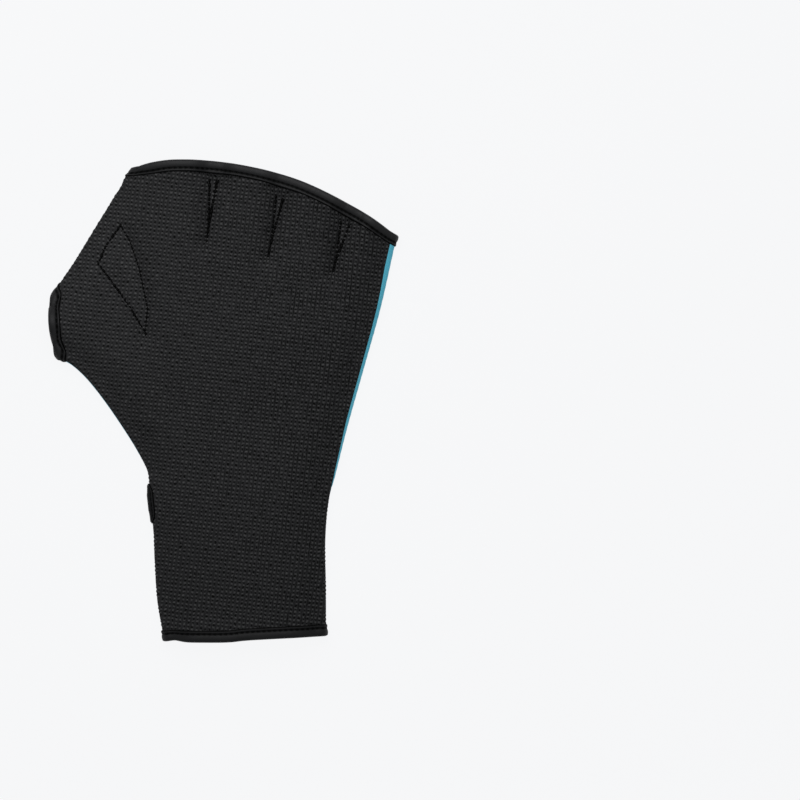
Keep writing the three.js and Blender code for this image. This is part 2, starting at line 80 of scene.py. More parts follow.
# %% [markdown]
# ## The glove seen from above
# A side is a line of points seen from above, and its seam table gives the angle round the roll, in degrees,
# at which the palm meets the back. A hem or a mouth is a few points between two sides. The wedges and the
# kite are the outlines of the stitched places. All of these are as in the CAD source, but the slit is a
# little shorter here and its ends taper, and seven places of the outline get a small nudge, which brings
# them closer to the real glove.

# %% Outlines
LITTLE_SIDE = [[51.4, -122], [51.4, -95], [51.1, -69], [52.9, -49], [56.1, -37], [62.4, -12], [71, 18.6],
               [78.6, 46], [85.3, 75.6], [88.3, 89]]
LITTLE_SEAM = [[-60, 118], [-48, 94], [-42, 62], [-35, 48], [-20, 42], [-10, 35], [20, 32], [46, 26],
               [56, 21], [66, 14], [76, 15]]
CROTCH_SIDE = [[-29.2, -122], [-30.3, -115.8], [-33.1, -99.4], [-34.4, -79.4], [-35, -64.4], [-36.6, -50],
               [-37.6, -36.4], [-41, -28.6], [-47.6, -17.4], [-58.4, -1.4], [-68.1, 10.9], [-76.6, 18.8],
               [-82.9, 23.2], [-88.9, 27.9]]
CROTCH_SEAM = [[-38, 110], [-30, 72], [-20, 68], [30, 68]]
INDEX_SIDE = [[-88.8, 49], [-83.9, 55.3], [-79.6, 62.2], [-74.1, 70.4], [-63.6, 87.6], [-56.2, 99.6],
              [-50.7, 109.6], [-46.6, 116.6], [-43.6, 121.8]]
INDEX_SEAM = [[50, 118], [120, 118]]
FINGER_HEM = {"left_y": 118.7, "right_y": 83.2,
              "between": [[-24, 119.6], [3.4, 117.9], [35.9, 110.1], [65.9, 95.7]]}
WRIST_HEM = {"left_y": -120.0, "right_y": -116.6, "between": [[-13, -119.5], [2.4, -119.4], [14.4, -118.3]]}
THUMB_MOUTH = {"crotch_y": 22.8, "index_y": 55.1,
               "between": [[-84.7, 29.8], [-85.9, 38], [-86.1, 45], [-85.5, 50.3]]}
MOUTH_CORNER = 0.17  # share of the thumb mouth over which its tape turns to run along the side
WRIST_SLIT = {"low_y": -60.0, "high_y": -42.2, "half_width": 1.5, "end_length": 5.5}
WEDGES = [
    [[-7.1, 110.6], [-2.4, 110.1], [-8.1, 79.6]],
    [[26.1, 102.6], [30.4, 100.6], [22.6, 72.4]],
    [[58.4, 89.6], [63.4, 87.6], [54.9, 64.6]],
]
KITE = [[-51.1, 88.1], [-58.6, 77.6], [-62.5, 68.6], [-46.9, 47.1], [-38.6, 33.1], [-37.4, 46.6],
        [-41.6, 66.6], [-46, 79.6]]
KITE_PUFF = 0.35  # the middle of the kite is pulled in less than its edge
HEM_CORNER = 1 / 16  # share of a hem over which it turns into the side's own direction
NUDGES = [
    {"at": [-47.5, 117.5], "shift": [1.6, -1.3], "reach": 3.6},
    {"at": [-52.6, 107.6], "shift": [0.9, 0.0], "reach": 3.5},
    {"at": [-82.0, 20.0], "shift": [-1.9, -1.6], "reach": 3.6},
    {"at": [-88.5, 54.5], "shift": [0.8, 0.2], "reach": 3.5},
    {"at": [-24.1, -120.3], "shift": [0.0, 0.9], "reach": 4.0},
    {"at": [-30.6, -119.4], "shift": [0.6, 0.1], "reach": 2.0},
    {"at": [-37.5, -50.5], "shift": [-1.1, 0.0], "reach": 5.0},
]
OUTLINE_STEPS = 160
print("the outline has", len(NUDGES), "nudged places and", len(WEDGES), "wedges")

# %% [markdown]
# ## Lines on the cloth
# The outline of a real glove is a smooth cut. A few measured points and a Catmull-Rom spline through them
# give such a line. A Bezier curve object could do the same, but plain arrays are easier to measure
# distances from, and the cloth below needs the distance from every point to every seam.


# %% Splines and distances
def spline(points, per=40):
    p = np.array(points, float)
    padded = np.vstack([p[:1], p, p[-1:]])
    t = np.linspace(0, 1, per, endpoint=False)[:, None]
    runs = []
    for k in range(len(p) - 1):
        a, b, c, d = padded[k:k + 4]
        start = (c - a) / 2
        end = (d - b) / 2
        cube = (2 * b - 2 * c + start + end) * t**3
        runs.append(cube + (3 * c - 3 * b - 2 * start - end) * t**2 + start * t + b)
    return np.vstack(runs + [p[-1:]])


def lengths_along(line):
    steps = np.linalg.norm(np.diff(line, axis=0), axis=1)
    return np.concatenate([[0], np.cumsum(steps)])


def evenly(line, count):
    along = lengths_along(line)
    at = np.linspace(0, along[-1], count + 1)
    return np.stack([np.interp(at, along, line[:, k]) for k in range(line.shape[1])], axis=1)


def unit(v):
    return v / np.maximum(np.linalg.norm(v, axis=-1, keepdims=True), 1e-12)


def smooth(t):
    t = np.clip(t, 0, 1)
    return t * t * (3 - 2 * t)


def ease_out(t):
    t = np.minimum(t, 1)
    return t * (2 - t)


def nearest_on(line, points):
    best = np.full(len(points), np.inf)
    segment = np.zeros(len(points), int)
    share = np.zeros(len(points))
    for k in range(len(line) - 1):
        run = line[k + 1] - line[k]
        t = np.clip((points - line[k]) @ run / (run @ run), 0, 1)
        away = np.hypot(points[:, 0] - line[k, 0] - t * run[0], points[:, 1] - line[k, 1] - t * run[1])
        closer = away < best
        best[closer] = away[closer]
        segment[closer] = k
        share[closer] = t[closer]
    return best, segment, share


def between(values, segment, share):
    return values[segment] + (values[segment + 1] - values[segment]) * share[:, None]


def is_inside(outline, points):
    inside = np.zeros(len(points), bool)
    x, y = points.T
    for a, b in zip(outline, np.roll(outline, -1, axis=0)):
        if a[1] == b[1]:
            continue
        crosses = (a[1] > y) != (b[1] > y)
        inside ^= crosses & (x < (b[0] - a[0]) * (y - a[1]) / (b[1] - a[1]) + a[0])
    return inside


# %% [markdown]
# ## The rolled sides and the hems
# Neoprene is springy, so where the two panels are joined the wall rolls round in a tight half circle
# instead of folding flat. A side is kept as the line that the wall rolls round, with the direction outwards
# at each place.


# %% Rolled sides
HEM_LINE_STEPS = 480


def make_side(outline, outward, seam):
    edge = evenly(spline(outline), OUTLINE_STEPS)
    along = unit(np.gradient(edge, axis=0))
    out = np.stack([along[:, 1], -along[:, 0]], axis=1) * outward
    return {"y": edge[:, 1], "along": along, "out": out, "axis": edge - out * (ROLL + WALL / 2),
            "seam": np.array(seam, float)}


little = make_side(LITTLE_SIDE, 1, LITTLE_SEAM)
crotch = make_side(CROTCH_SIDE, -1, CROTCH_SEAM)
index = make_side(INDEX_SIDE, -1, INDEX_SEAM)
sides = [little, crotch, index]


def read_side(side, key, y):
    return np.stack([np.interp(y, side["y"], side[key][:, k]) for k in range(2)], axis=-1)


def on_side(side, y, reach):
    out = unit(read_side(side, "out", y))
    return read_side(side, "axis", y) + out * np.asarray(reach, float)[..., None]


def seam_reach(layer, side, y):
    angle = np.radians(np.interp(y, side["seam"][:, 0], side["seam"][:, 1]))
    round_from_top = angle if layer == "palm" else np.pi - angle
    return ROLL * round_from_top - FIT / 2


def make_hem(sizes, left):
    ends = [on_side(left, sizes["left_y"], 0.0), on_side(little, sizes["right_y"], 0.0)]
    line = evenly(spline([ends[0], *sizes["between"], ends[1]]), HEM_LINE_STEPS)
    return {"line": line, "tangent": unit(np.gradient(line, axis=0)), "left": left, **sizes}


finger_hem = make_hem(FINGER_HEM, index)
wrist_hem = make_hem(WRIST_HEM, crotch)
print("finger hem", round(lengths_along(finger_hem["line"])[-1]), "mm long")

# %% [markdown]
# ## How the cloth lies
# The back lies on the table. The palm swells over it, is pulled down where thread ties the two panels
# together, and comes down to the rolled sides. Both heights are worked out once on a fine grid, and every
# piece reads that grid, so panels, tapes and threads always agree. Simulating the cloth could give this
# too, but it would drift from the CAD.

# %% Heights of the two panels
mouth_line = spline([
    on_side(crotch, THUMB_MOUTH["crotch_y"], 0.0), *THUMB_MOUTH["between"],
    on_side(index, THUMB_MOUTH["index_y"], 0.0)])
slit_y = (WRIST_SLIT["low_y"] + WRIST_SLIT["high_y"]) / 2
slit_line = on_side(crotch, np.array([WRIST_SLIT["low_y"], slit_y, WRIST_SLIT["high_y"]]), np.zeros(3))
hem_lines = [(evenly(finger_hem["line"], 48), TAPE_DEPTH, -1), (evenly(wrist_hem["line"], 24), TAPE_DEPTH, 1)]
taped_lines = [(line, width) for line, width, _ in hem_lines]
taped_lines += [(evenly(mouth_line, 16), TAPE_DEPTH), (slit_line, SLIT_TAPE_DEPTH)]
crotch_sewn = crotch["y"] < THUMB_MOUTH["crotch_y"] + CORNER_RUN * crotch["along"][:, 1]
index_sewn = index["y"] > THUMB_MOUTH["index_y"] - CORNER_RUN * index["along"][:, 1]
sewn_lines = [little["axis"], crotch["axis"][crotch_sewn], index["axis"][index_sewn]]
tacks = [(np.array(wedge), 0.0) for wedge in WEDGES] + [(np.array(KITE), KITE_PUFF)]


def behind_tape(points):
    moved = points.copy()
    free = np.ones(len(points), bool)
    for line, width, inward in hem_lines:
        distance, segment, share = nearest_on(line, points)
        along = unit(np.diff(line, axis=0))[segment]
        normal = np.stack([-along[:, 1], along[:, 0]], axis=1) * inward
        depth = ((points - between(line, segment, share)) * normal).sum(axis=1)
        held = free & (depth < width) & (distance < width)
        moved[held] = points[held] + normal[held] * (width - depth[held])[:, None]
        free &= ~held
    return moved


def pull_at(points):
    pull = np.zeros(len(points))
    for outline, puff in tacks:
        away = nearest_on(np.vstack([outline, outline[:1]]), points)[0]
        away = np.where(is_inside(outline, points), away * puff, away)
        pull = np.maximum(pull, 1 - ease_out(away / TACK_REACH))
    return pull


def panel_heights(points):
    place = behind_tape(points)
    away = np.min([nearest_on(line, place)[0] for line in sewn_lines], axis=0)
    grip = smooth(away / TACK_FADE)
    from_tapes = [nearest_on(line, place)[0] - width for line, width in taped_lines]
    lift = np.max([1 - smooth(distance / LIFT_FADE) for distance in from_tapes], axis=0)
    pull = pull_at(place) * grip
    swell = np.interp(place[:, 1], *np.array(SWELL).T)
    thumb_width = THUMB_SWELL["to_x"] - THUMB_SWELL["from_x"]
    towards_palm = smooth((place[:, 0] - THUMB_SWELL["from_x"]) / thumb_width)
    reach = THUMB_SWELL["distance"] + (SIDE_SWELL - THUMB_SWELL["distance"]) * towards_palm
    open_gap = 2 * ROLL + swell * (1 - np.exp(-((away / reach) ** 2)))
    back = WALL / 2 + np.maximum(TAPE_LIFT * lift, TACK_RISE * pull)
    return back, back + open_gap + (TACK_GAP - open_gap) * pull


grid_x = np.arange(-100.0, 101.0)
grid_y = np.arange(-134.0, 135.0)
grid_points = np.stack(np.meshgrid(grid_x, grid_y, indexing="ij"), axis=-1).reshape(-1, 2)
height = {}
slope = {}
for layer, values in zip(("back", "palm"), panel_heights(grid_points)):
    height[layer] = values.reshape(len(grid_x), len(grid_y))
    slope[layer] = np.stack(np.gradient(height[layer]), axis=-1)
print("palm stands up to", round(float(height["palm"].max()) + WALL / 2, 1), "mm above the table")


def read_grid(values, points):
    x = np.clip(points[:, 0] - grid_x[0], 0, len(grid_x) - 1.001)
    y = np.clip(points[:, 1] - grid_y[0], 0, len(grid_y) - 1.001)
    i = x.astype(int)
    j = y.astype(int)
    s = (x - i).reshape(-1, *[1] * (values.ndim - 2))
    t = (y - j).reshape(-1, *[1] * (values.ndim - 2))
    low = values[i, j] * (1 - s) + values[i + 1, j] * s
    high = values[i, j + 1] * (1 - s) + values[i + 1, j + 1] * s
    return low * (1 - t) + high * t


# %% [markdown]
# ## From flat cloth to the glove
# A place on a panel is given on the flat cloth. Inside the roll lines it is seen straight from above. Past
# a roll line the cloth goes round the roll, so the distance past the line becomes an angle. One function
# gives the middle of the wall and the direction out of the glove for any place, for panels, tapes and
# threads alike.


# %% The wall at a place on the cloth
def wall_at(layer, places):
    places = np.asarray(places, float)
    points = places.reshape(-1, 2)
    feet = []
    for side in sides:
        distance, segment, share = nearest_on(side["axis"], points)
        foot = between(side["axis"], segment, share)
        feet.append((distance, foot, unit(between(side["out"], segment, share))))
    nearest = np.argmin([foot[0] for foot in feet], axis=0)
    pick = np.arange(len(points))
    axis = np.stack([foot[1] for foot in feet])[nearest, pick]
    out = np.stack([foot[2] for foot in feet])[nearest, pick]
    past = np.stack([foot[0] for foot in feet])[nearest, pick] * np.sign(((points - axis) * out).sum(axis=1))
    up = 1 if layer == "palm" else -1
    tilt = read_grid(slope[layer], points)
    at = np.column_stack([points, read_grid(height[layer], points)])
    normal = unit(np.column_stack([-tilt * up, np.full(len(points), up)]))
    angle = past / ROLL
    rolled = past > 0
    across = np.sin(angle)[:, None]
    upward = up * np.cos(angle)[:, None]
    middle = read_grid(height["back"], axis)[:, None] + ROLL
    at_roll = np.hstack([axis + out * ROLL * across, middle + ROLL * upward])
    out_roll = np.hstack([out * across, upward])
    at[rolled] = at_roll[rolled]
    normal[rolled] = out_roll[rolled]
    flat = at[:, :2].copy()
    for nudge in NUDGES:
        away = np.linalg.norm(flat - nudge["at"], axis=1) / nudge["reach"]
        at[:, :2] += np.exp(-away**2)[:, None] * nudge["shift"]
    return at.reshape(*places.shape[:-1], 3), normal.reshape(*places.shape[:-1], 3)


# %% [markdown]
# ## The trimmed edges
# The wrist and finger hems, the thumb mouth and the small wrist slit are where a real panel is cut and then
# bound. Each is a row of places on the flat cloth. A tape needs the same row again at several depths inside
# the edge.

# %% Hems, thumb mouth and slit as rows of places
HEM_STEPS = 130
ROLL_STEPS = 6
MOUTH_STEPS = 200
PAST_CORNER = 3.0  # a seam row starts this far past the corner of a hem


def seam_row(layer, side, y):
    return on_side(side, y, seam_reach(layer, side, y))


def hem_end(layer, side, y, tangent, depth, inward, t):
    along = unit(read_side(side, "along", y))
    out = unit(read_side(side, "out", y))
    angle = seam_reach(layer, side, y) * (1 - t) / ROLL
    slant = (along @ tangent) / (out @ tangent)
    shift = slant * ROLL * np.sin(angle) + inward * depth
    return on_side(side, y + shift * along[1], ROLL * angle)


def hem_row(layer, hem, depth, inward):
    t = np.linspace(0, 1, ROLL_STEPS + 1)
    left = hem_end(layer, hem["left"], hem["left_y"], -hem["tangent"][0], depth, inward, t)
    right = hem_end(layer, little, hem["right_y"], hem["tangent"][-1], depth, inward, t)
    line = evenly(hem["line"], HEM_STEPS)
    tangent = unit(evenly(hem["tangent"], HEM_STEPS))
    u = np.linspace(0, 1, HEM_STEPS + 1)
    blend = smooth(np.minimum(u, 1 - u) / HEM_CORNER)[:, None]
    normal = np.stack([-tangent[:, 1], tangent[:, 0]], axis=1) * inward
    slide = np.where(u[:, None] < 0.5, left[-1] - line[0], right[-1] - line[-1])
    middle = line + slide + (normal * depth - slide) * blend
    return np.vstack([left[:-1], middle, right[:-1][::-1]])


def mouth_edge(layer, fractions):
    low_end = seam_row(layer, crotch, THUMB_MOUTH["crotch_y"])
    high_end = seam_row(layer, index, THUMB_MOUTH["index_y"])
    line = evenly(spline([low_end, *THUMB_MOUTH["between"], high_end]), MOUTH_STEPS)
    tangent = unit(np.gradient(line, axis=0))
    pick = np.rint(np.asarray(fractions) * MOUTH_STEPS).astype(int)
    return line[pick], np.stack([tangent[pick, 1], -tangent[pick, 0]], axis=1)


def slit_edge(layer, steps):
    turn = np.radians(np.linspace(0, 180, 2 * steps + 1))
    low = turn <= np.pi / 2
    end_y = np.where(low, WRIST_SLIT["low_y"], WRIST_SLIT["high_y"])
    half = WRIST_SLIT["half_width"]
    length = WRIST_SLIT["end_length"]
    y = end_y + np.where(low, 1, -1) * length * (1 - np.abs(np.cos(turn)))
    reach = seam_reach(layer, crotch, y) - half * np.sin(turn)
    into = unit(np.stack([-half * np.cos(turn), length * np.sin(turn)], axis=1))
    return y, reach, into, np.sin(turn)


def panel_outline(layer):
    up_little = np.linspace(WRIST_HEM["right_y"] + PAST_CORNER, FINGER_HEM["right_y"] - PAST_CORNER, 260)
    down_index = np.linspace(FINGER_HEM["left_y"] - PAST_CORNER, THUMB_MOUTH["index_y"], 80)
    down_crotch = np.linspace(THUMB_MOUTH["crotch_y"], WRIST_SLIT["high_y"], 90)
    down_wrist = np.linspace(WRIST_SLIT["low_y"], WRIST_HEM["left_y"] + PAST_CORNER, 70)
    slit_place, slit_reach, _, _ = slit_edge(layer, 8)
    return np.vstack([
        hem_row(layer, wrist_hem, 0.0, 1),
        seam_row(layer, little, up_little),
        hem_row(layer, finger_hem, 0.0, -1)[::-1],
        seam_row(layer, index, down_index)[:-1],
        mouth_edge(layer, np.linspace(1, 0, 41))[0],
        seam_row(layer, crotch, down_crotch)[1:-1],
        on_side(crotch, slit_place, slit_reach)[::-1],
        seam_row(layer, crotch, down_wrist)[1:],
    ])


outlines = {layer: panel_outline(layer) for layer in LAYERS}


def flat_area(outline):
    x, y = outline.T
    return abs(float((x * np.roll(y, -1) - y * np.roll(x, -1)).sum())) / 2


for layer, outline in outlines.items():
    print(layer, "panel is cut from", round(flat_area(outline) / 100), "square centimetres of cloth")

# %% [markdown]
# ## Cutting a panel on its own lattice
# The palm's embossing is a lattice of small raised dots, 2 mm apart and a little turned. If the mesh had
# its own rows, the dots would beat against them. So the mesh is the lattice: one vertex on each dot, one in
# each pit. Only the squares on the cut line are clipped, as scissors would. A boolean could clip them too,
# but it is slow on this many faces and leaves slivers. A vertex that nearly lies on the cut line is moved
# onto it first, to avoid those.

# %% Cut the cloth out of a lattice
SNAP = 0.3  # share of the pitch within which a vertex is moved onto the cut line


def cut_cloth(outline, pitch, turned):
    cos = math.cos(math.radians(turned))
    sin = math.sin(math.radians(turned))
    axes = np.array([[cos, sin], [-sin, cos]])
    span = outline @ axes.T / pitch
    low = np.floor(span.min(axis=0)).astype(int) - 2
    high = np.ceil(span.max(axis=0)).astype(int) + 3
    i, j = np.meshgrid(np.arange(low[0], high[0]), np.arange(low[1], high[1]), indexing="ij")
    points = np.stack([i, j], axis=-1).reshape(-1, 2) * pitch @ axes
    inside = is_inside(outline, points).reshape(i.shape)
    mixed = np.zeros(i.shape, bool)
    for shift in ((0, 1), (1, 0), (1, 1), (1, -1)):
        moved = np.roll(inside, shift, axis=(0, 1)) != inside
        mixed |= moved | np.roll(moved, (-shift[0], -shift[1]), axis=(0, 1))
    near = np.flatnonzero(mixed)
    closed = np.vstack([outline, outline[:1]])
    distance, segment, share = nearest_on(closed, points[near])
    value = np.where(inside.ravel(), 9.0, -9.0)
    value[near] = np.where(inside.ravel()[near], distance, -distance)
    snapped = distance < SNAP * pitch
    points[near[snapped]] = between(closed, segment[snapped], share[snapped])
    value[near[snapped]] = 0.0
    number = np.arange(i.size).reshape(i.shape)
    around = [number[:-1, :-1], number[1:, :-1], number[1:, 1:], number[:-1, 1:]]
    corners = np.stack(around, axis=-1).reshape(-1, 4)
    levels = value[corners]
    whole = (levels >= 0).all(axis=1) & (levels > 0).any(axis=1)
    cut = (levels > 0).any(axis=1) & (levels < 0).any(axis=1)
    extra = []
    made = {}
    clipped = []
    for square in corners[cut].tolist():
        shape = []
        for a, b in zip(square, square[1:] + square[:1]):
            if value[a] >= 0:
                shape.append(a)
            if value[a] * value[b] < 0:
                key = (min(a, b), max(a, b))
                if key not in made:
                    t = value[key[0]] / (value[key[0]] - value[key[1]])
                    made[key] = len(points) + len(extra)
                    extra.append(points[key[0]] + (points[key[1]] - points[key[0]]) * t)
                shape.append(made[key])
        if len(shape) > 2:
            clipped.append(shape)
    if extra:
        points = np.vstack([points, extra])
    faces = corners[whole].tolist() + clipped
    used, renumbered = np.unique(np.concatenate([np.array(f) for f in faces]), return_inverse=True)
    ends = np.cumsum([len(f) for f in faces])[:-1]
    faces = [part.tolist() for part in np.split(renumbered, ends)]
    return points[used], faces, points[used] @ axes.T / pitch


# %% [markdown]
# ## A panel with two faces and a rim
# Neoprene is a slab, so a panel has an outer face, an inner face and the cut rim between them. Solidify
# would make these as well, but the inner face has to follow the roll without the embossing, so both are
# placed by hand. The lattice places are kept as a UV map, and how hard a stitched line pulls the cloth
# in as an attribute. The material reads the UV map, and the palm's paints the dips paler by the attribute,
# as painted light against their shade.


# %% Lay a panel on the glove
SHARP_ANGLE = math.radians(62)


def mesh_object(name, points_mm, faces, materials):
    mesh = bpy.data.meshes.new(name)
    mesh.from_pydata((np.asarray(points_mm) * MM).tolist(), [], faces)
    mesh.validate()
    mesh.update()
    obj = bpy.data.objects.new(name, mesh)
    bpy.context.scene.collection.objects.link(obj)
    for material in materials:
        mesh.materials.append(material)
    return obj


def set_uv(mesh, per_vertex):
    loops = np.zeros(len(mesh.loops), np.int32)
    mesh.loops.foreach_get("vertex_index", loops)
    layer = mesh.uv_layers.new(name="cloth")
    layer.data.foreach_set("uv", per_vertex[loops].astype(np.float32).ravel())


def lay_panel(name, layer, pitch, turned, relief, materials):
    cloth, faces, lattice = cut_cloth(outlines[layer], pitch, turned)
    at, out = wall_at(layer, cloth)
    outer = at + out * (WALL / 2 + relief(lattice, cloth))[:, None]
    inner = at - out * WALL / 2
    count = len(cloth)
    if layer == "back":
        faces = [face[::-1] for face in faces]
    edges = {}
    for face in faces:
        for a, b in zip(face, face[1:] + face[:1]):
            edges[(a, b)] = True
    rim = [(b, a, a + count, b + count) for a, b in edges if (b, a) not in edges]
    under = [[v + count for v in reversed(face)] for face in faces]
    obj = mesh_object(name, np.vstack([outer, inner]), faces + under + rim, materials)
    set_uv(obj.data, np.vstack([lattice, lattice]))
    # The pull of the stitched lines, which the palm's material turns into painted light in the dips.
    painted_valley_light = obj.data.attributes.new("painted_valley_light", "FLOAT", "POINT")
    painted_valley_light.data.foreach_set("value", np.tile(pull_at(cloth), 2).astype(np.float32))
    slots = np.concatenate([np.zeros(len(faces)), np.ones(len(under) + len(rim))]).astype(np.int32)
    obj.data.polygons.foreach_set("material_index", slots)
    obj.data.shade_smooth()
    obj.data.set_sharp_from_angle(angle=SHARP_ANGLE)
    print(name, "has", len(obj.data.polygons), "faces and", len(rim), "round its rim")
    return obj


# %% [markdown]
# ## Building materials from small node helpers
# A cloth finish is a few ideas stacked up: a repeating pattern, a random change from one stitch or dot to
# the next, and a slow change over the whole panel. Each is a handful of maths nodes. A few helpers keep the
# node code readable: one adds a node with its inputs filled in, others do one sum on numbers or on vectors.
# Colours are given as a screen shows them, from 0 to 255, and made linear.

# %% Node helpers
NOISE_ROUGHNESS = 0.55


def linear(*srgb):
    return tuple(((v / 255 + 0.055) / 1.055) ** 2.4 if v > 10.3 else v / 255 / 12.92 for v in srgb) + (1.0,)


class Finish:
    def __init__(self, name):
        self.material = bpy.data.materials.new(name)
        self.material.use_nodes = True
        self.tree = self.material.node_tree
        self.shader = self.tree.nodes["Principled BSDF"]

    def node(self, kind, inputs=None, **settings):
        made = self.tree.nodes.new(kind)
        for key, value in settings.items():
            setattr(made, key, value)
        for key, value in (inputs or {}).items():
            self.put(made.inputs[key], value)
        return made

    def put(self, socket, value):
        if isinstance(value, bpy.types.NodeSocket):
            self.tree.links.new(value, socket)
        else:
            socket.default_value = value

    def sum(self, operation, *values, clamp=False):
        made = self.tree.nodes.new("ShaderNodeMath")
        made.operation = operation
        made.use_clamp = clamp
        for k, value in enumerate(values):
            self.put(made.inputs[k], value)
        return made.outputs[0]

    def ramp(self, value, low, high, to_low=0.0, to_high=1.0):
        limits = {"From Min": low, "From Max": high, "To Min": to_low, "To Max": to_high}
        return self.node("ShaderNodeMapRange", {"Value": value, **limits}).outputs["Result"]

    def vectors(self, operation, *values):
        return self.node("ShaderNodeVectorMath", dict(enumerate(values)), operation=operation).outputs[0]

    def blend(self, share, first, second):
        made = self.node("ShaderNodeMix", data_type="RGBA")
        self.put(made.inputs["Factor"], share)
        self.put(made.inputs["A"], first)
        self.put(made.inputs["B"], second)
        return made.outputs["Result"]

    def noise(self, coordinates, scale, detail):
        values = {"Vector": coordinates, "Scale": scale, "Detail": detail, "Roughness": NOISE_ROUGHNESS}
        return self.node("ShaderNodeTexNoise", values).outputs["Fac"]

    def bump(self, rise, strength, distance):
        values = {"Height": rise, "Strength": strength, "Distance": distance}
        return self.node("ShaderNodeBump", values).outputs["Normal"]

    def set(self, **values):
        for key, value in values.items():
            self.put(self.shader.inputs[key.replace("_", " ")], value)
        return self.material


# %% [markdown]
# ## The palm's embossed cloth
# The palm side is black knit pressed with a waffle of small dots, so that it grips the water. Each dot
# gets a painted highlight, and a pit of painted shade lies above and below it. Every second pit is fainter,
# like the squares of a chess board, and thin dark lines of the same painted shade run between the columns
# of dots. No two are quite alike, and towards the thumb the dots are wider and the pits paler. The formula
# for dots and pits is used twice: the mesh moves its vertices by it, and the nodes set colour and fine bump
# between them.

# %% Palm finish
DOT_PITCH = 2.07  # millimetres
DOT_TURN = -6.5  # degrees
DOT_RELIEF = 0.18
PIT_RELIEF = 0.18
DOT_SHARPNESS = 4.0
DOT_SHARPNESS_AT_THUMB = 3.5
PIT_SHARPNESS = 2.5
FAINT_PITS = 0.72
LINE_SHARPNESS = 1.5
# How much paler the dips along the stitched lines are painted: painted light against their shade.
VALLEY_PAINTED_LIGHT = 0.2
CRUMPLE = 0.8
THUMB_TO_LITTLE = (-0.06, 0.05)
# The dot tone is a painted highlight. The pit tone is painted shade, used in the pits and along the lines
# between the dot columns.
PALM_TONES = {"ground": (37, 37, 38), "worn": (42, 42, 43), "dot": (74, 74, 74), "fibre": (48, 48, 50),
              "painted_hollow_shade": (2, 2, 2)}


def waffle(u, v):
    dots = (np.cos(np.pi * u) * np.sin(np.pi * v)) ** DOT_SHARPNESS
    level = np.cos(np.pi * u) * np.cos(np.pi * v)
    pits = np.abs(level) ** PIT_SHARPNESS * np.where(level > 0, 1, FAINT_PITS)
    return DOT_RELIEF * dots - PIT_RELIEF * pits


def waffle_nodes(finish, u, v, narrow):
    across = finish.sum("COSINE", finish.sum("MULTIPLY", u, math.pi))
    v_turn = finish.sum("MULTIPLY", v, math.pi)
    wide = finish.sum("POWER", finish.sum("ABSOLUTE", across), narrow)
    tall = finish.sum("POWER", finish.sum("ABSOLUTE", finish.sum("SINE", v_turn)), DOT_SHARPNESS)
    dots = finish.sum("MULTIPLY", wide, tall)
    level = finish.sum("MULTIPLY", across, finish.sum("COSINE", v_turn))
    pits = finish.sum("MULTIPLY", finish.sum("POWER", finish.sum("ABSOLUTE", level), PIT_SHARPNESS),
                      finish.ramp(level, -0.01, 0.01, FAINT_PITS, 1.0))
    from_column = finish.sum("SUBTRACT", 1.0, finish.sum("ABSOLUTE", across))
    return dots, pits, finish.sum("POWER", from_column, LINE_SHARPNESS)


def chance_per_cell(finish, cells, shift, seed):
    cell = finish.vectors("FLOOR", finish.vectors("ADD", cells, (*shift, seed)))
    return finish.node("ShaderNodeTexWhiteNoise", {"Vector": cell}, noise_dimensions="3D").outputs["Value"]


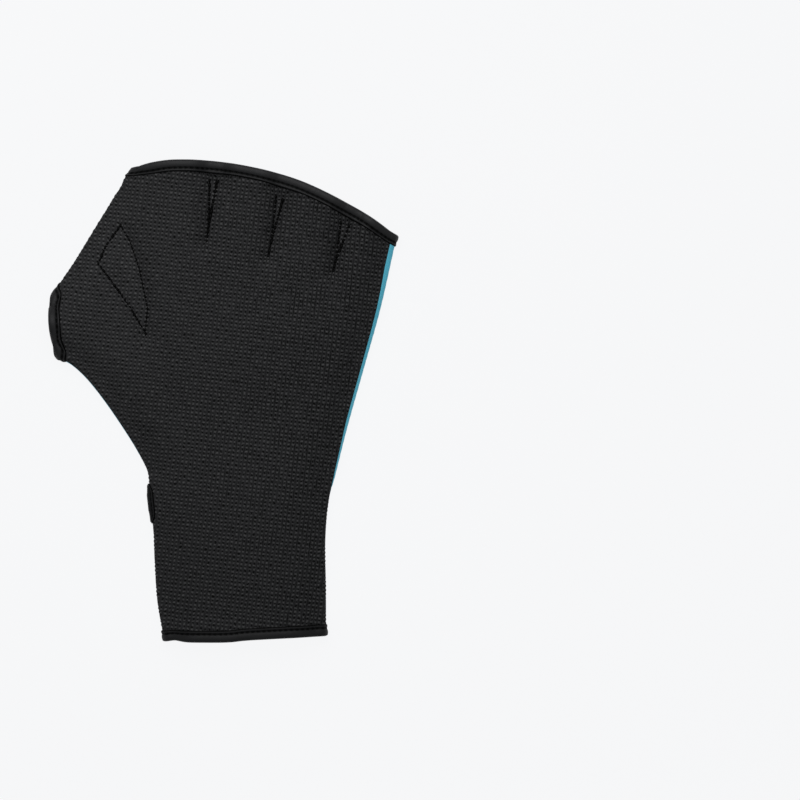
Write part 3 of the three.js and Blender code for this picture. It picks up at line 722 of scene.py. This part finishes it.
def palm_finish():
    finish = Finish("palm_neoprene")
    where = finish.node("ShaderNodeTexCoord").outputs["Object"]
    cloth = finish.node("ShaderNodeUVMap", uv_map="cloth").outputs["UV"]
    unrest = finish.node("ShaderNodeTexNoise", {"Vector": where, "Scale": 520.0, "Detail": 2.0})
    crumple = finish.vectors("SUBTRACT", unrest.outputs["Color"], (0.5, 0.5, 0.5))
    even = finish.vectors("MULTIPLY", cloth, (0.5, 0.5, 0.5))
    cells = finish.vectors("MULTIPLY_ADD", crumple, (CRUMPLE, CRUMPLE, 0.0), even)
    split = finish.node("ShaderNodeSeparateXYZ", {"Vector": cells})
    side = finish.node("ShaderNodeSeparateXYZ", {"Vector": where}).outputs["X"]
    narrow = finish.ramp(side, -0.07, 0.03, DOT_SHARPNESS_AT_THUMB, DOT_SHARPNESS)
    dots, pits, gaps = waffle_nodes(finish, split.outputs["X"], split.outputs["Y"], narrow)
    dot_chance = chance_per_cell(finish, cells, (0.5, 0.0), 3.5)
    pit_chance = chance_per_cell(finish, cells, (0.5, 0.5), 7.5)
    fibres = finish.noise(where, 2600.0, 4.0)
    wander = finish.noise(where, 260.0, 3.0)
    slow = finish.noise(where, 16.0, 2.0)
    # Painted highlight on each dot; the same mask lifts the dots in the bump.
    dot_rise_and_highlight = finish.sum("MULTIPLY", dots, finish.ramp(dot_chance, 0, 1, 0.64, 1.1))
    dot_rise_and_highlight = finish.sum("MULTIPLY", dot_rise_and_highlight, finish.ramp(wander, 0.3, 0.7, 0.85, 1.1))
    dot_rise_and_highlight = finish.sum("MULTIPLY", dot_rise_and_highlight, finish.ramp(side, *THUMB_TO_LITTLE, 1.0, 0.9), clamp=True)
    # Painted shade in each pit; the same mask sinks the pits in the bump.
    pit_depth_and_shade = finish.sum("MULTIPLY", pits, finish.ramp(pit_chance, 0, 1, 1.1, 1.7))
    pit_depth_and_shade = finish.sum("MULTIPLY", pit_depth_and_shade, finish.ramp(side, *THUMB_TO_LITTLE, 0.84, 1.03), clamp=True)
    lines = finish.sum("MULTIPLY", gaps, finish.ramp(wander, 0.4, 0.7, 0.35, 1.0))
    lines = finish.sum("MULTIPLY", lines, finish.ramp(side, *THUMB_TO_LITTLE, 0.4, 1.3), clamp=True)
    tones = {part: linear(*value) for part, value in PALM_TONES.items()}
    ground = finish.blend(finish.ramp(slow, 0.3, 0.7), tones["ground"], tones["worn"])
    colour = finish.blend(dot_rise_and_highlight, ground, tones["dot"])
    colour = finish.blend(finish.ramp(fibres, 0.4, 0.75, 0.0, 0.25), colour, tones["fibre"])
    # Painted shade in the pits and along the lines between the dot columns.
    colour = finish.blend(finish.sum("MAXIMUM", pit_depth_and_shade, lines), colour, tones["painted_hollow_shade"])
    # Painted light: the cloth is painted paler where a stitched line pulls it into a dip, against the shade
    # there.
    painted_valley_light = finish.node("ShaderNodeAttribute", attribute_name="painted_valley_light").outputs["Fac"]
    valley_light_scale = finish.sum("MULTIPLY_ADD", painted_valley_light, VALLEY_PAINTED_LIGHT, 1.0)
    colour = finish.node("ShaderNodeVectorMath", {0: colour, "Scale": valley_light_scale}, operation="SCALE").outputs[0]
    rise = finish.sum("SUBTRACT", dot_rise_and_highlight, pit_depth_and_shade)
    rise = finish.sum("ADD", rise, finish.sum("MULTIPLY", fibres, 0.25))
    rise = finish.sum("ADD", rise, finish.sum("MULTIPLY", wander, 0.3))
    rough = finish.ramp(fibres, 0.3, 0.7, 0.75, 0.92)
    finish.shader.inputs["Specular IOR Level"].default_value = 0.1
    return finish.set(Base_Color=colour, Roughness=rough, Normal=finish.bump(rise, 0.4, 0.0002))


# %% [markdown]
# The inside of the glove and the cut rims show the neoprene's lining: a plain fine black knit. Its wales
# run the length of the hand, about two to the millimetre.


# %% Lining finish
def knit_nodes(finish, coordinates, wales, courses):
    split = finish.node("ShaderNodeSeparateXYZ", {"Vector": coordinates})
    across = finish.sum("SINE", finish.sum("MULTIPLY", split.outputs["X"], 2 * math.pi * wales))
    shifted = finish.sum("ADD", finish.sum("MULTIPLY", split.outputs["Y"], 2 * math.pi * courses),
                         finish.sum("MULTIPLY", finish.sum("ABSOLUTE", across), 1.6))
    along = finish.sum("SINE", shifted)
    return finish.sum("ADD", finish.sum("MULTIPLY", across, 0.5), finish.sum("MULTIPLY", along, 0.5))


def lining_finish():
    finish = Finish("neoprene_lining")
    where = finish.node("ShaderNodeTexCoord").outputs["Object"]
    knit = knit_nodes(finish, where, 1900.0, 1500.0)
    cloud = finish.noise(where, 60.0, 3.0)
    colour = finish.blend(finish.ramp(knit, -1, 1), linear(24, 24, 26), linear(40, 40, 43))
    colour = finish.blend(finish.ramp(cloud, 0.35, 0.7, 0.0, 0.25), colour, linear(50, 50, 54))
    finish.shader.inputs["Sheen Weight"].default_value = 0.08
    return finish.set(Base_Color=colour, Roughness=finish.ramp(cloud, 0.3, 0.7, 0.8, 0.95),
                      Normal=finish.bump(knit, 0.4, 0.0001))


# %% [markdown]
# ## The blue back
# The back is smooth blue jersey on the same neoprene. From the palm side only a narrow strip of it shows,
# where it rolls up round the long edges. Jersey has small V-shaped stitches in rows and a faint silky
# sheen.


# %% Back finish
def back_finish():
    finish = Finish("back_neoprene")
    where = finish.node("ShaderNodeTexCoord").outputs["Object"]
    cloth = finish.node("ShaderNodeUVMap", uv_map="cloth").outputs["UV"]
    knit = knit_nodes(finish, cloth, 2.0, 1.6)
    cloud = finish.noise(where, 24.0, 3.0)
    fibres = finish.noise(where, 2400.0, 4.0)
    colour = finish.blend(finish.ramp(knit, -1, 1), linear(60, 160, 184), linear(86, 184, 208))
    colour = finish.blend(finish.ramp(cloud, 0.35, 0.7, 0.0, 0.35), colour, linear(98, 190, 212))
    colour = finish.blend(finish.ramp(fibres, 0.45, 0.8, 0.0, 0.3), colour, linear(130, 206, 224))
    rise = finish.sum("ADD", knit, finish.sum("MULTIPLY", fibres, 0.5))
    finish.shader.inputs["Specular IOR Level"].default_value = 0.25
    return finish.set(Base_Color=colour, Roughness=finish.ramp(fibres, 0.3, 0.7, 0.6, 0.82),
                      Normal=finish.bump(rise, 0.35, 0.00012))


# %% [markdown]
# ## Binding tape and thread
# The tape is smooth black stretch binding, a close weave with a soft sheen. A highlight along its puffed fold
# is painted into its colour. Its UV map runs in millimetres along it, and across it from its lip. Shade is
# painted in the groove that the stitches pull, at the edge of the lip and under the fold, and over the whole
# of the wrist, thumb and slit tapes. The thread is black polyester, twisted and dull.


# %% Tape and thread finishes
STITCH_PITCH = 2.7
TAPE_STITCH_SHARE = 0.64
GROOVE = TAPE_DEPTH * (1 - TAPE_STITCH_SHARE)
# half width of the painted shade in the stitch groove
GROOVE_SHADE_HALF = 0.7
# width of the painted shadow along the edge of the tape's lip
LIP_SHADE = 0.55
# half width of the painted highlight along the tape's puffed band
PAINTED_GLEAM_HALF = 1.5
RIBS_PER_MM = 2.4
PICKS_PER_MM = 3.2


# The arguments give a painted shade over the whole tape, the strength of the painted shade under its fold and
# the place of its painted highlight.
def tape_finish(name, shade, under_shade, painted_gleam_at):
    finish = Finish(name)
    where = finish.node("ShaderNodeTexCoord").outputs["Object"]
    cloth = finish.node("ShaderNodeUVMap", uv_map="cloth").outputs["UV"]
    split = finish.node("ShaderNodeSeparateXYZ", {"Vector": cloth})
    ribs = finish.sum("SINE", finish.sum("MULTIPLY", split.outputs["X"], 2 * math.pi * RIBS_PER_MM))
    picks = finish.sum("SINE", finish.sum("MULTIPLY", split.outputs["Y"], 2 * math.pi * PICKS_PER_MM))
    weave = finish.sum("MULTIPLY", ribs, picks)
    pucker = finish.sum("COSINE", finish.sum("MULTIPLY", split.outputs["X"], 2 * math.pi / STITCH_PITCH))
    fibres = finish.noise(where, 2000.0, 4.0)
    cloud = finish.noise(where, 90.0, 3.0)
    colour = finish.blend(finish.ramp(weave, -1, 1), linear(20, 20, 21), linear(28, 28, 29))
    colour = finish.blend(finish.ramp(cloud, 0.35, 0.7, 0.0, 0.4), colour, linear(34, 34, 35))
    # Painted highlight: a paler band along the puffed part of the tape.
    from_painted_gleam = finish.sum("ABSOLUTE", finish.sum("SUBTRACT", split.outputs["Y"], painted_gleam_at))
    painted_gleam = finish.sum("MULTIPLY", finish.ramp(from_painted_gleam, 0.0, PAINTED_GLEAM_HALF, 0.4, 0.0),
                       finish.ramp(cloud, 0.3, 0.7, 0.5, 1.0))
    colour = finish.blend(painted_gleam, colour, linear(44, 44, 45))
    # Painted shade in the stitch groove, varying along the stitches.
    from_groove = finish.sum("ABSOLUTE", finish.sum("SUBTRACT", split.outputs["Y"], GROOVE))
    painted_groove_shade = finish.sum("MULTIPLY", finish.ramp(from_groove, GROOVE_SHADE_HALF * 0.6, GROOVE_SHADE_HALF * 1.3, 1.0, 0.0),
                        finish.ramp(pucker, -1.0, 1.0, 0.95, 0.6))
    # Painted shadow: a dark line along the edge of the lip.
    painted_lip_shadow = finish.ramp(split.outputs["Y"], LIP_SHADE * 0.6, LIP_SHADE * 1.3, 1.0, 0.0)
    # Painted shade: darker under the tape's fold, past its outer edge.
    under = finish.ramp(split.outputs["Y"], TAPE_DEPTH * 1.15, TAPE_DEPTH * 1.5, 0.0, under_shade)
    # All painted shade of the tape together; it also lowers the specular.
    painted_dark = finish.sum("MAXIMUM", finish.sum("MAXIMUM", painted_groove_shade, painted_lip_shadow), under)
    painted_dark = finish.sum("MAXIMUM", painted_dark, shade)
    colour = finish.blend(painted_dark, colour, linear(1, 1, 1))
    rise = finish.sum("ADD", finish.sum("MULTIPLY", weave, 0.25), finish.sum("MULTIPLY", pucker, 0.5))
    rise = finish.sum("ADD", rise, finish.sum("MULTIPLY", fibres, 0.4))
    return finish.set(Base_Color=colour, Roughness=finish.ramp(fibres, 0.3, 0.7, 0.42, 0.6),
                      Specular_IOR_Level=finish.ramp(painted_dark, 0, 1, 0.16, 0.03),
                      Normal=finish.bump(rise, 0.3, 0.0001))


def thread_finish():
    finish = Finish("thread")
    where = finish.node("ShaderNodeTexCoord").outputs["Object"]
    plies = {"Vector": where, "Scale": 900.0, "Distortion": 4.0, "Detail": 2.0}
    twist = finish.node("ShaderNodeTexWave", plies, bands_direction="DIAGONAL").outputs["Fac"]
    colour = finish.blend(twist, linear(1, 1, 1), linear(5, 5, 5))
    finish.shader.inputs["Specular IOR Level"].default_value = 0.06
    return finish.set(Base_Color=colour, Roughness=finish.ramp(twist, 0, 1, 0.45, 0.65),
                      Normal=finish.bump(twist, 0.5, 0.0001))


palm_neoprene = palm_finish()
neoprene_lining = lining_finish()
back_neoprene = back_finish()
# One binding tape four times, with painted shade and painted highlight set for where each lies: the wrist,
# thumb and slit tapes are painted darker.
binding_tape = tape_finish("binding_tape", 0.0, 0.3, 4.5)
wrist_binding = tape_finish("wrist_tape", 0.25, 0.9, 4.0)
thumb_binding = tape_finish("thumb_tape", 0.1, 0.9, 3.2)
slit_binding = tape_finish("slit_tape", 0.45, 0.5, 4.5)
thread = thread_finish()
print("materials:", [material.name for material in bpy.data.materials])

# %% [markdown]
# ## The two panels
# On the palm the embossing fades out under the tapes, where the binding has pressed it flat, and the cloth
# dips a little along the stitched wedges and the kite. The back has no embossing, only the same dips.

# %% Palm and back
TACK_LINES = [np.array([wedge[0], wedge[2], wedge[1]]) for wedge in WEDGES]
TACK_LINES.append(np.array(KITE + KITE[:1]))
THREAD_DIP = 0.2  # how deep a stitched line sinks into the cloth
DIP_WIDTH = 0.7
BACK_PITCH = 1.15
COVER_FADE = 1.2  # distance from a tape over which the embossing comes back


def thread_dip(cloth):
    away = np.min([nearest_on(line, cloth)[0] for line in TACK_LINES], axis=0)
    return THREAD_DIP * np.exp(-((away / DIP_WIDTH) ** 2))


def tape_cover(cloth):
    away = np.min([nearest_on(line, cloth)[0] - width for line, width in taped_lines], axis=0)
    return smooth(away / COVER_FADE)


def palm_relief(lattice, cloth):
    return waffle(lattice[:, 0] / 2, lattice[:, 1] / 2) * tape_cover(cloth) - thread_dip(cloth)


def back_relief(lattice, cloth):
    return -thread_dip(cloth)


palm_panel = lay_panel("palm_cloth", "palm", DOT_PITCH / 2, DOT_TURN, palm_relief,
                       [palm_neoprene, neoprene_lining])
back_panel = lay_panel("back_cloth", "back", BACK_PITCH, 0.0, back_relief, [back_neoprene, neoprene_lining])

# %% [markdown]
# ## Folded binding tape
# A binding is a strip folded over the cut edge and sewn through. Seen in section it has two legs and a
# round fold, puffs up between the fold and the stitch line, dips at the stitches and lies flat at its lip.
# Near and far are how far its two faces lie from the middle of the wall, at each share of its depth from
# the cut edge. The section is made at each place along the edge, first on the palm and then back along the
# back panel, and closed into a loop. A curve with a bevel profile could not follow both walls as they come
# together at the sides.

# %% Tape section and loops
TAPE_SHARES = np.array([0.0, 0.14, 0.29, 0.42, 0.52, 0.59, 0.64, 0.69, 0.75, 0.83, 0.92, 1.0])
TAPE_NEAR = np.array([1.4, 1.4, 1.36, 1.28, 1.18, 1.1, 1.06, 1.08, 1.12, 1.14, 1.1, 1.06])
TAPE_FAR = np.array([2.0, 2.06, 2.04, 1.9, 1.66, 1.48, 1.42, 1.48, 1.66, 1.74, 1.66, 1.42])
FOLD_TURNS = np.radians(np.linspace(90, -90, 11))


def tape_sections(layer, places):
    at, out = wall_at(layer, places)
    away = at[:, 0] - at[:, 1]
    away = unit(away - out[:, 0] * (away * out[:, 0]).sum(axis=1, keepdims=True))

    def leg(offsets):
        return at[:, 1:] + out[:, 1:] * offsets[1:, None]

    def fold(beyond, offset, turns):
        round_edge = away[:, None] * (beyond * np.cos(turns))[:, None]
        return at[:, :1] + round_edge + out[:, :1] * (offset * np.sin(turns))[:, None]

    outside = [leg(TAPE_FAR)[:, ::-1], fold(TAPE_FIT + TAPE, TAPE_FAR[0], FOLD_TURNS), leg(-TAPE_FAR)]
    inside = [leg(-TAPE_NEAR)[:, ::-1], fold(TAPE_FIT, TAPE_NEAR[0], -FOLD_TURNS), leg(TAPE_NEAR)]
    return np.concatenate(outside + inside, axis=1)


def tape_loop(name, rings, flip, finish):
    stations, count = rings.shape[:2]
    number = np.arange(stations * count).reshape(stations, count)
    ahead = np.roll(number, -1, axis=0)
    a, b, c, d = number, np.roll(number, -1, axis=1), np.roll(ahead, -1, axis=1), ahead
    quads = np.stack([a, d, c, b] if flip else [a, b, c, d], axis=-1).reshape(-1, 4)
    obj = mesh_object(name, rings.reshape(-1, 3), quads.tolist(), [finish])
    along = lengths_along(rings.mean(axis=1))
    leg = (1 - TAPE_SHARES[1:]) * TAPE_DEPTH
    fold = TAPE_DEPTH * (1 + np.cos(FOLD_TURNS) / 2)
    across = np.concatenate([leg[::-1], fold, leg, leg[::-1], fold, leg])
    set_uv(obj.data, np.stack(np.meshgrid(along, across, indexing="ij"), axis=-1).reshape(-1, 2))
    obj.data.shade_smooth()
    obj.data.set_sharp_from_angle(angle=SHARP_ANGLE)
    print(name, "has", len(quads), "faces")
    return obj


def hem_places(layer, hem, inward):
    return np.stack([hem_row(layer, hem, share * TAPE_DEPTH, inward) for share in TAPE_SHARES], axis=1)


def mouth_places(layer):
    fractions = np.linspace(0, 1, 101)
    edge, into = mouth_edge(layer, fractions)
    turned = np.clip(1 - np.minimum(fractions, 1 - fractions) / MOUTH_CORNER, 0, 1)[:, None]
    low = fractions[:, None] < 0.5
    along = np.where(low, -unit(read_side(crotch, "along", THUMB_MOUTH["crotch_y"])),
                     unit(read_side(index, "along", THUMB_MOUTH["index_y"])))
    direction = unit(into + (along - into) * turned)
    return edge[:, None] + direction[:, None] * (TAPE_SHARES * TAPE_DEPTH)[:, None]


def slit_places(layer):
    y, reach, into, middle = slit_edge(layer, 12)
    depth = SLIT_TAPE_DEPTH * (SLIT_TAPE_END + (1 - SLIT_TAPE_END) * middle)
    step = TAPE_SHARES[None, :] * depth[:, None]
    return on_side(crotch, y[:, None] + into[:, :1] * step, reach[:, None] - into[:, 1:] * step)


def bind(name, places, flip, finish):
    rings = [tape_sections(layer, places[layer]) for layer in LAYERS]
    return tape_loop(name, np.concatenate([rings[0], rings[1][::-1]]), flip, finish)


finger_rows = {layer: hem_places(layer, finger_hem, -1) for layer in LAYERS}
wrist_rows = {layer: hem_places(layer, wrist_hem, 1) for layer in LAYERS}
mouth_rows = {layer: mouth_places(layer) for layer in LAYERS}
slit_rows = {layer: slit_places(layer) for layer in LAYERS}
fingertip_tape = bind("fingertip_tape", finger_rows, False, binding_tape)
wrist_tape = bind("wrist_tape", wrist_rows, True, wrist_binding)
thumb_tape = bind("thumb_tape", mouth_rows, False, thumb_binding)
slit_tape = bind("slit_tape", slit_rows, False, slit_binding)


# %% [markdown]
# ## Stitches
# Lockstitch shows as a row of short pieces of thread, each sunk a little at its ends. Placing hundreds by
# hand would be dull and hard to change. Geometry Nodes do it: a line is turned into a curve, points are set
# along it at the stitch pitch, and a small rounded piece is put on each, with slight random turns and
# sizes. The tree is made once, and every row of stitches uses it with its own numbers.


# %% Stitch tree
def socket(tree, name, kind, side="INPUT"):
    return tree.interface.new_socket(name, in_out=side, socket_type=kind)


def stitch_tree():
    tree = bpy.data.node_groups.new("run_of_stitches", "GeometryNodeTree")
    tree.is_modifier = True
    socket(tree, "Geometry", "NodeSocketGeometry", "OUTPUT")
    socket(tree, "Geometry", "NodeSocketGeometry")
    for name in ("Pitch", "Stitch length", "Thread radius", "Looseness", "Unevenness"):
        socket(tree, name, "NodeSocketFloat")
    socket(tree, "Seed", "NodeSocketInt")

    def node(kind, **settings):
        made = tree.nodes.new(kind)
        for key, value in settings.items():
            setattr(made, key, value)
        return made

    given = node("NodeGroupInput").outputs
    curve = node("GeometryNodeMeshToCurve")
    spots = node("GeometryNodeCurveToPoints", mode="LENGTH")
    piece = node("GeometryNodeMeshUVSphere")
    piece.inputs["Segments"].default_value = 8
    piece.inputs["Rings"].default_value = 6
    piece.inputs["Radius"].default_value = 1.0
    half = node("ShaderNodeMath", operation="MULTIPLY")
    half.inputs[1].default_value = 0.5
    size = node("ShaderNodeCombineXYZ")
    shaped = node("GeometryNodeTransform")
    placed = node("GeometryNodeInstanceOnPoints")
    turns = node("FunctionNodeRandomValue", data_type="FLOAT_VECTOR")
    spread = node("ShaderNodeCombineXYZ")
    less = node("ShaderNodeVectorMath", operation="SCALE")
    less.inputs["Scale"].default_value = -1.0
    turned = node("GeometryNodeRotateInstances")
    smaller = node("ShaderNodeMath", operation="SUBTRACT")
    smaller.inputs[0].default_value = 1.0
    larger = node("ShaderNodeMath", operation="ADD")
    larger.inputs[0].default_value = 1.0
    plumpness = node("FunctionNodeRandomValue", data_type="FLOAT")
    real = node("GeometryNodeRealizeInstances")
    softened = node("GeometryNodeSetShadeSmooth")
    coloured = node("GeometryNodeSetMaterial")
    coloured.inputs["Material"].default_value = thread
    result = node("NodeGroupOutput")
    links = [
        (given["Geometry"], curve.inputs["Mesh"]),
        (curve.outputs["Curve"], spots.inputs["Curve"]),
        (given["Pitch"], spots.inputs["Length"]),
        (given["Stitch length"], half.inputs[0]),
        (given["Thread radius"], size.inputs["X"]),
        (given["Thread radius"], size.inputs["Y"]),
        (half.outputs[0], size.inputs["Z"]),
        (piece.outputs["Mesh"], shaped.inputs["Geometry"]),
        (size.outputs[0], shaped.inputs["Scale"]),
        (spots.outputs["Points"], placed.inputs["Points"]),
        (shaped.outputs["Geometry"], placed.inputs["Instance"]),
        (spots.outputs["Rotation"], placed.inputs["Rotation"]),
        (given["Looseness"], spread.inputs["X"]),
        (given["Looseness"], spread.inputs["Y"]),
        (spread.outputs[0], turns.inputs["Max"]),
        (spread.outputs[0], less.inputs[0]),
        (less.outputs[0], turns.inputs["Min"]),
        (given["Seed"], turns.inputs["Seed"]),
        (given["Unevenness"], smaller.inputs[1]),
        (given["Unevenness"], larger.inputs[1]),
        (smaller.outputs[0], plumpness.inputs["Min"]),
        (larger.outputs[0], plumpness.inputs["Max"]),
        (given["Seed"], plumpness.inputs["Seed"]),
        (plumpness.outputs["Value"], placed.inputs["Scale"]),
        (placed.outputs["Instances"], turned.inputs["Instances"]),
        (turns.outputs["Value"], turned.inputs["Rotation"]),
        (turned.outputs["Instances"], real.inputs["Geometry"]),
        (real.outputs["Geometry"], softened.inputs["Geometry"]),
        (softened.outputs["Geometry"], coloured.inputs["Geometry"]),
        (coloured.outputs["Geometry"], result.inputs["Geometry"]),
    ]
    for start, end in links:
        tree.links.new(start, end)
    return tree


stitches = stitch_tree()
print("stitch tree has", len(stitches.nodes), "nodes")


# %% [markdown]
# ## Rows of stitches
# One row runs in the groove of each tape, on the palm and on the back alike. Thicker rows hold the wedges
# and the kite. Each line is found with wall_at, so it lies on its cloth. A row runs the tree once and keeps
# the mesh that comes out. Stitching guided by hand is never even, so the thick rows turn and swell more
# than those in the tapes.


# %% Run stitches along lines
BINDING_STITCH = {"pitch": STITCH_PITCH, "length": 2.2, "radius": 0.24, "loose": 0.05, "uneven": 0.1}
SLIT_STITCH = {"pitch": 2.0, "length": 1.7, "radius": 0.15, "loose": 0.05, "uneven": 0.1}
WEDGE_STITCH = {"pitch": 2.3, "length": 2.1, "radius": 0.72, "loose": 0.15, "uneven": 0.2}
WEDGE_SIDE_STITCH = {"pitch": 2.4, "length": 2.4, "radius": 0.86, "loose": 0.15, "uneven": 0.25}
KITE_STITCH = {"pitch": 2.2, "length": 2.1, "radius": 0.66, "loose": 0.18, "uneven": 0.25}
KITE_SIDE_STITCH = {"pitch": 2.1, "length": 1.8, "radius": 0.52, "loose": 0.15, "uneven": 0.2}
TAPE_THREAD_LIFT = 0.02
CLOTH_THREAD_LIFT = 0.22
LINE_STEP = 0.8


def run_stitches(name, lines_mm, stitch, seed):
    points = np.vstack(lines_mm)
    edges = []
    start = 0
    for line in lines_mm:
        edges += [(start + k, start + k + 1) for k in range(len(line) - 1)]
        start += len(line)
    mesh = bpy.data.meshes.new(name)
    mesh.from_pydata((points * MM).tolist(), edges, [])
    obj = bpy.data.objects.new(name, mesh)
    bpy.context.scene.collection.objects.link(obj)
    modifier = obj.modifiers.new("stitches", "NODES")
    modifier.node_group = stitches
    values = {"Pitch": stitch["pitch"] * MM, "Stitch length": stitch["length"] * MM,
              "Thread radius": stitch["radius"] * MM, "Looseness": stitch["loose"],
              "Unevenness": stitch["uneven"], "Seed": seed}
    for item in stitches.interface.items_tree:
        if item.in_out == "INPUT" and item.name in values:
            modifier[item.identifier] = values[item.name]
    graph = bpy.context.evaluated_depsgraph_get()
    made = bpy.data.meshes.new_from_object(obj.evaluated_get(graph), depsgraph=graph)
    obj.modifiers.clear()
    obj.data = made
    print(name, "has", len(made.polygons), "faces")
    return obj


def tape_stitch_lines(places):
    far = float(np.interp(TAPE_STITCH_SHARE, TAPE_SHARES, TAPE_FAR))
    lines = []
    for layer in LAYERS:
        row = places[layer]
        place = row[:, 0] + (row[:, -1] - row[:, 0]) * TAPE_STITCH_SHARE
        at, out = wall_at(layer, place)
        lines.append(at + out * (far + TAPE_THREAD_LIFT))
    return lines


def cloth_stitch_lines(cloth_lines):
    lines = []
    for layer in LAYERS:
        for line in cloth_lines:
            steps = max(2, int(lengths_along(line)[-1] / LINE_STEP))
            place = evenly(line, steps)
            at, out = wall_at(layer, place)
            lines.append(at + out * (WALL / 2 - THREAD_DIP + CLOTH_THREAD_LIFT))
    return lines


wedge_left = [line[:2] for line in TACK_LINES[:3]]
wedge_right = [line[1:] for line in TACK_LINES[:3]]
kite_near = np.array(KITE[:5])
kite_far = np.array(KITE[4:] + KITE[:1])
stitch_pieces = [
    run_stitches("fingertip_stitching", tape_stitch_lines(finger_rows), BINDING_STITCH, 1),
    run_stitches("wrist_stitching", tape_stitch_lines(wrist_rows), BINDING_STITCH, 2),
    run_stitches("thumb_stitching", tape_stitch_lines(mouth_rows), BINDING_STITCH, 3),
    run_stitches("slit_stitching", tape_stitch_lines(slit_rows), SLIT_STITCH, 4),
    run_stitches("wedge_stitching", cloth_stitch_lines(wedge_left), WEDGE_STITCH, 5),
    run_stitches("wedge_side_stitching", cloth_stitch_lines(wedge_right), WEDGE_SIDE_STITCH, 8),
    run_stitches("kite_stitching", cloth_stitch_lines([kite_near]), KITE_STITCH, 6),
    run_stitches("kite_side_stitching", cloth_stitch_lines([kite_far]), KITE_SIDE_STITCH, 7),
]

# %% [markdown]
# ## Standing for the CAD nodes
# Each cloth or tape piece takes the place of one CAD node, and everything moves with the only body. The
# flat area that each panel was cut to is worked out at the end.

# %% Ride and replace
for obj, node_name, finish_slot in (
    (palm_panel, "palm_panel", "palm_neoprene"),
    (back_panel, "back_panel", "back_neoprene"),
    (fingertip_tape, "fingertip_binding", "binding_tape"),
    (wrist_tape, "wrist_binding", "binding_tape"),
    (thumb_tape, "thumb_binding", "binding_tape"),
    (slit_tape, "wrist_slit_binding", "binding_tape"),
):
    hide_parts(node_name)
    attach(obj, "root")
for obj in stitch_pieces:
    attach(obj, "root")
trims = [fingertip_tape, wrist_tape, thumb_tape, slit_tape, *stitch_pieces]
for obj, layer, below, trim in ((palm_panel, "palm", ["back_cloth"], trims), (back_panel, "back", [], [])):
    flat_area(outlines[layer]) * MM * MM

# %% [markdown]
# ## Table, light and camera
# The photo is a plain product shot: the glove lies flat on white, seen from straight above, with soft even
# light and almost no shadow. So the floor glows like a light table, and a pale sky fills the shade. One
# wide lamp stands above and beyond the fingers, so the light falls off slowly towards the wrist. The lens
# is long and far away, so the picture has hardly any perspective. Sizes are in metres here, but for the
# level of the floor.

# %% Floor, lamps and camera
FLOOR_SIDE = 6.0
FLOOR_LEVEL = -0.2
FLOOR_GLOW = 0.915
SKY_COLOUR = (0.96, 0.98, 1.0, 1)
SKY_STRENGTH = 0.4
LAMP_PLACE = (-0.05, 0.28, 0.46)
LAMP_SIZE = 0.4
LAMP_POWER = 1.85
PICTURE_WIDTH = 0.4
PICTURE_CENTRE = (0.0884, 0.0006)
CAMERA_HEIGHT = 3.0
FOCUS_HEIGHT = 0.005
SENSOR = 36.0


def floor_finish():
    finish = Finish("pale_floor")
    where = finish.node("ShaderNodeTexCoord").outputs["Object"]
    cloud = finish.noise(where, 3.0, 2.0)
    colour = finish.blend(finish.ramp(cloud, 0.3, 0.7), (0.03, 0.0303, 0.0309, 1), (0.034, 0.0343, 0.035, 1))
    finish.shader.inputs["Specular IOR Level"].default_value = 0.0
    finish.shader.inputs["Emission Color"].default_value = (0.985, 0.99, 1.0, 1)
    finish.shader.inputs["Emission Strength"].default_value = FLOOR_GLOW
    return finish.set(Base_Color=colour, Roughness=0.9)


half_floor = FLOOR_SIDE / 2 / MM
corners_mm = [(x * half_floor, y * half_floor, FLOOR_LEVEL) for x, y in ((-1, -1), (1, -1), (1, 1), (-1, 1))]
floor = mesh_object("floor", corners_mm, [(0, 1, 2, 3)], [floor_finish()])


def lamp(name, place, aim, size, power):
    data = bpy.data.lights.new(name, "AREA")
    data.size = size
    data.energy = power
    obj = bpy.data.objects.new(name, data)
    bpy.context.scene.collection.objects.link(obj)
    obj.location = place
    direction = np.array(aim, float) - np.array(place, float)
    yaw = math.atan2(direction[1], direction[0])
    pitch = math.atan2(math.hypot(direction[0], direction[1]), -direction[2])
    obj.rotation_euler = (0, -pitch, yaw)


lamp("wide_lamp", LAMP_PLACE, (0, 0, 0), LAMP_SIZE, LAMP_POWER)
world = bpy.data.worlds.new("studio")
world.use_nodes = True
sky = world.node_tree.nodes["Background"]
sky.inputs["Color"].default_value = SKY_COLOUR
sky.inputs["Strength"].default_value = SKY_STRENGTH
bpy.context.scene.world = world
bpy.context.scene.view_settings.view_transform = "Standard"

camera_data = bpy.data.cameras.new("camera")
camera_data.sensor_width = SENSOR
camera_data.lens = SENSOR * (CAMERA_HEIGHT - FOCUS_HEIGHT) / PICTURE_WIDTH
camera_data.clip_end = 20.0
camera = bpy.data.objects.new("camera", camera_data)
camera.location = (*PICTURE_CENTRE, CAMERA_HEIGHT)
bpy.context.scene.collection.objects.link(camera)
bpy.context.scene.camera = camera
print("lens", round(camera_data.lens), "mm")

# %% Update the view layer
bpy.context.view_layer.update()
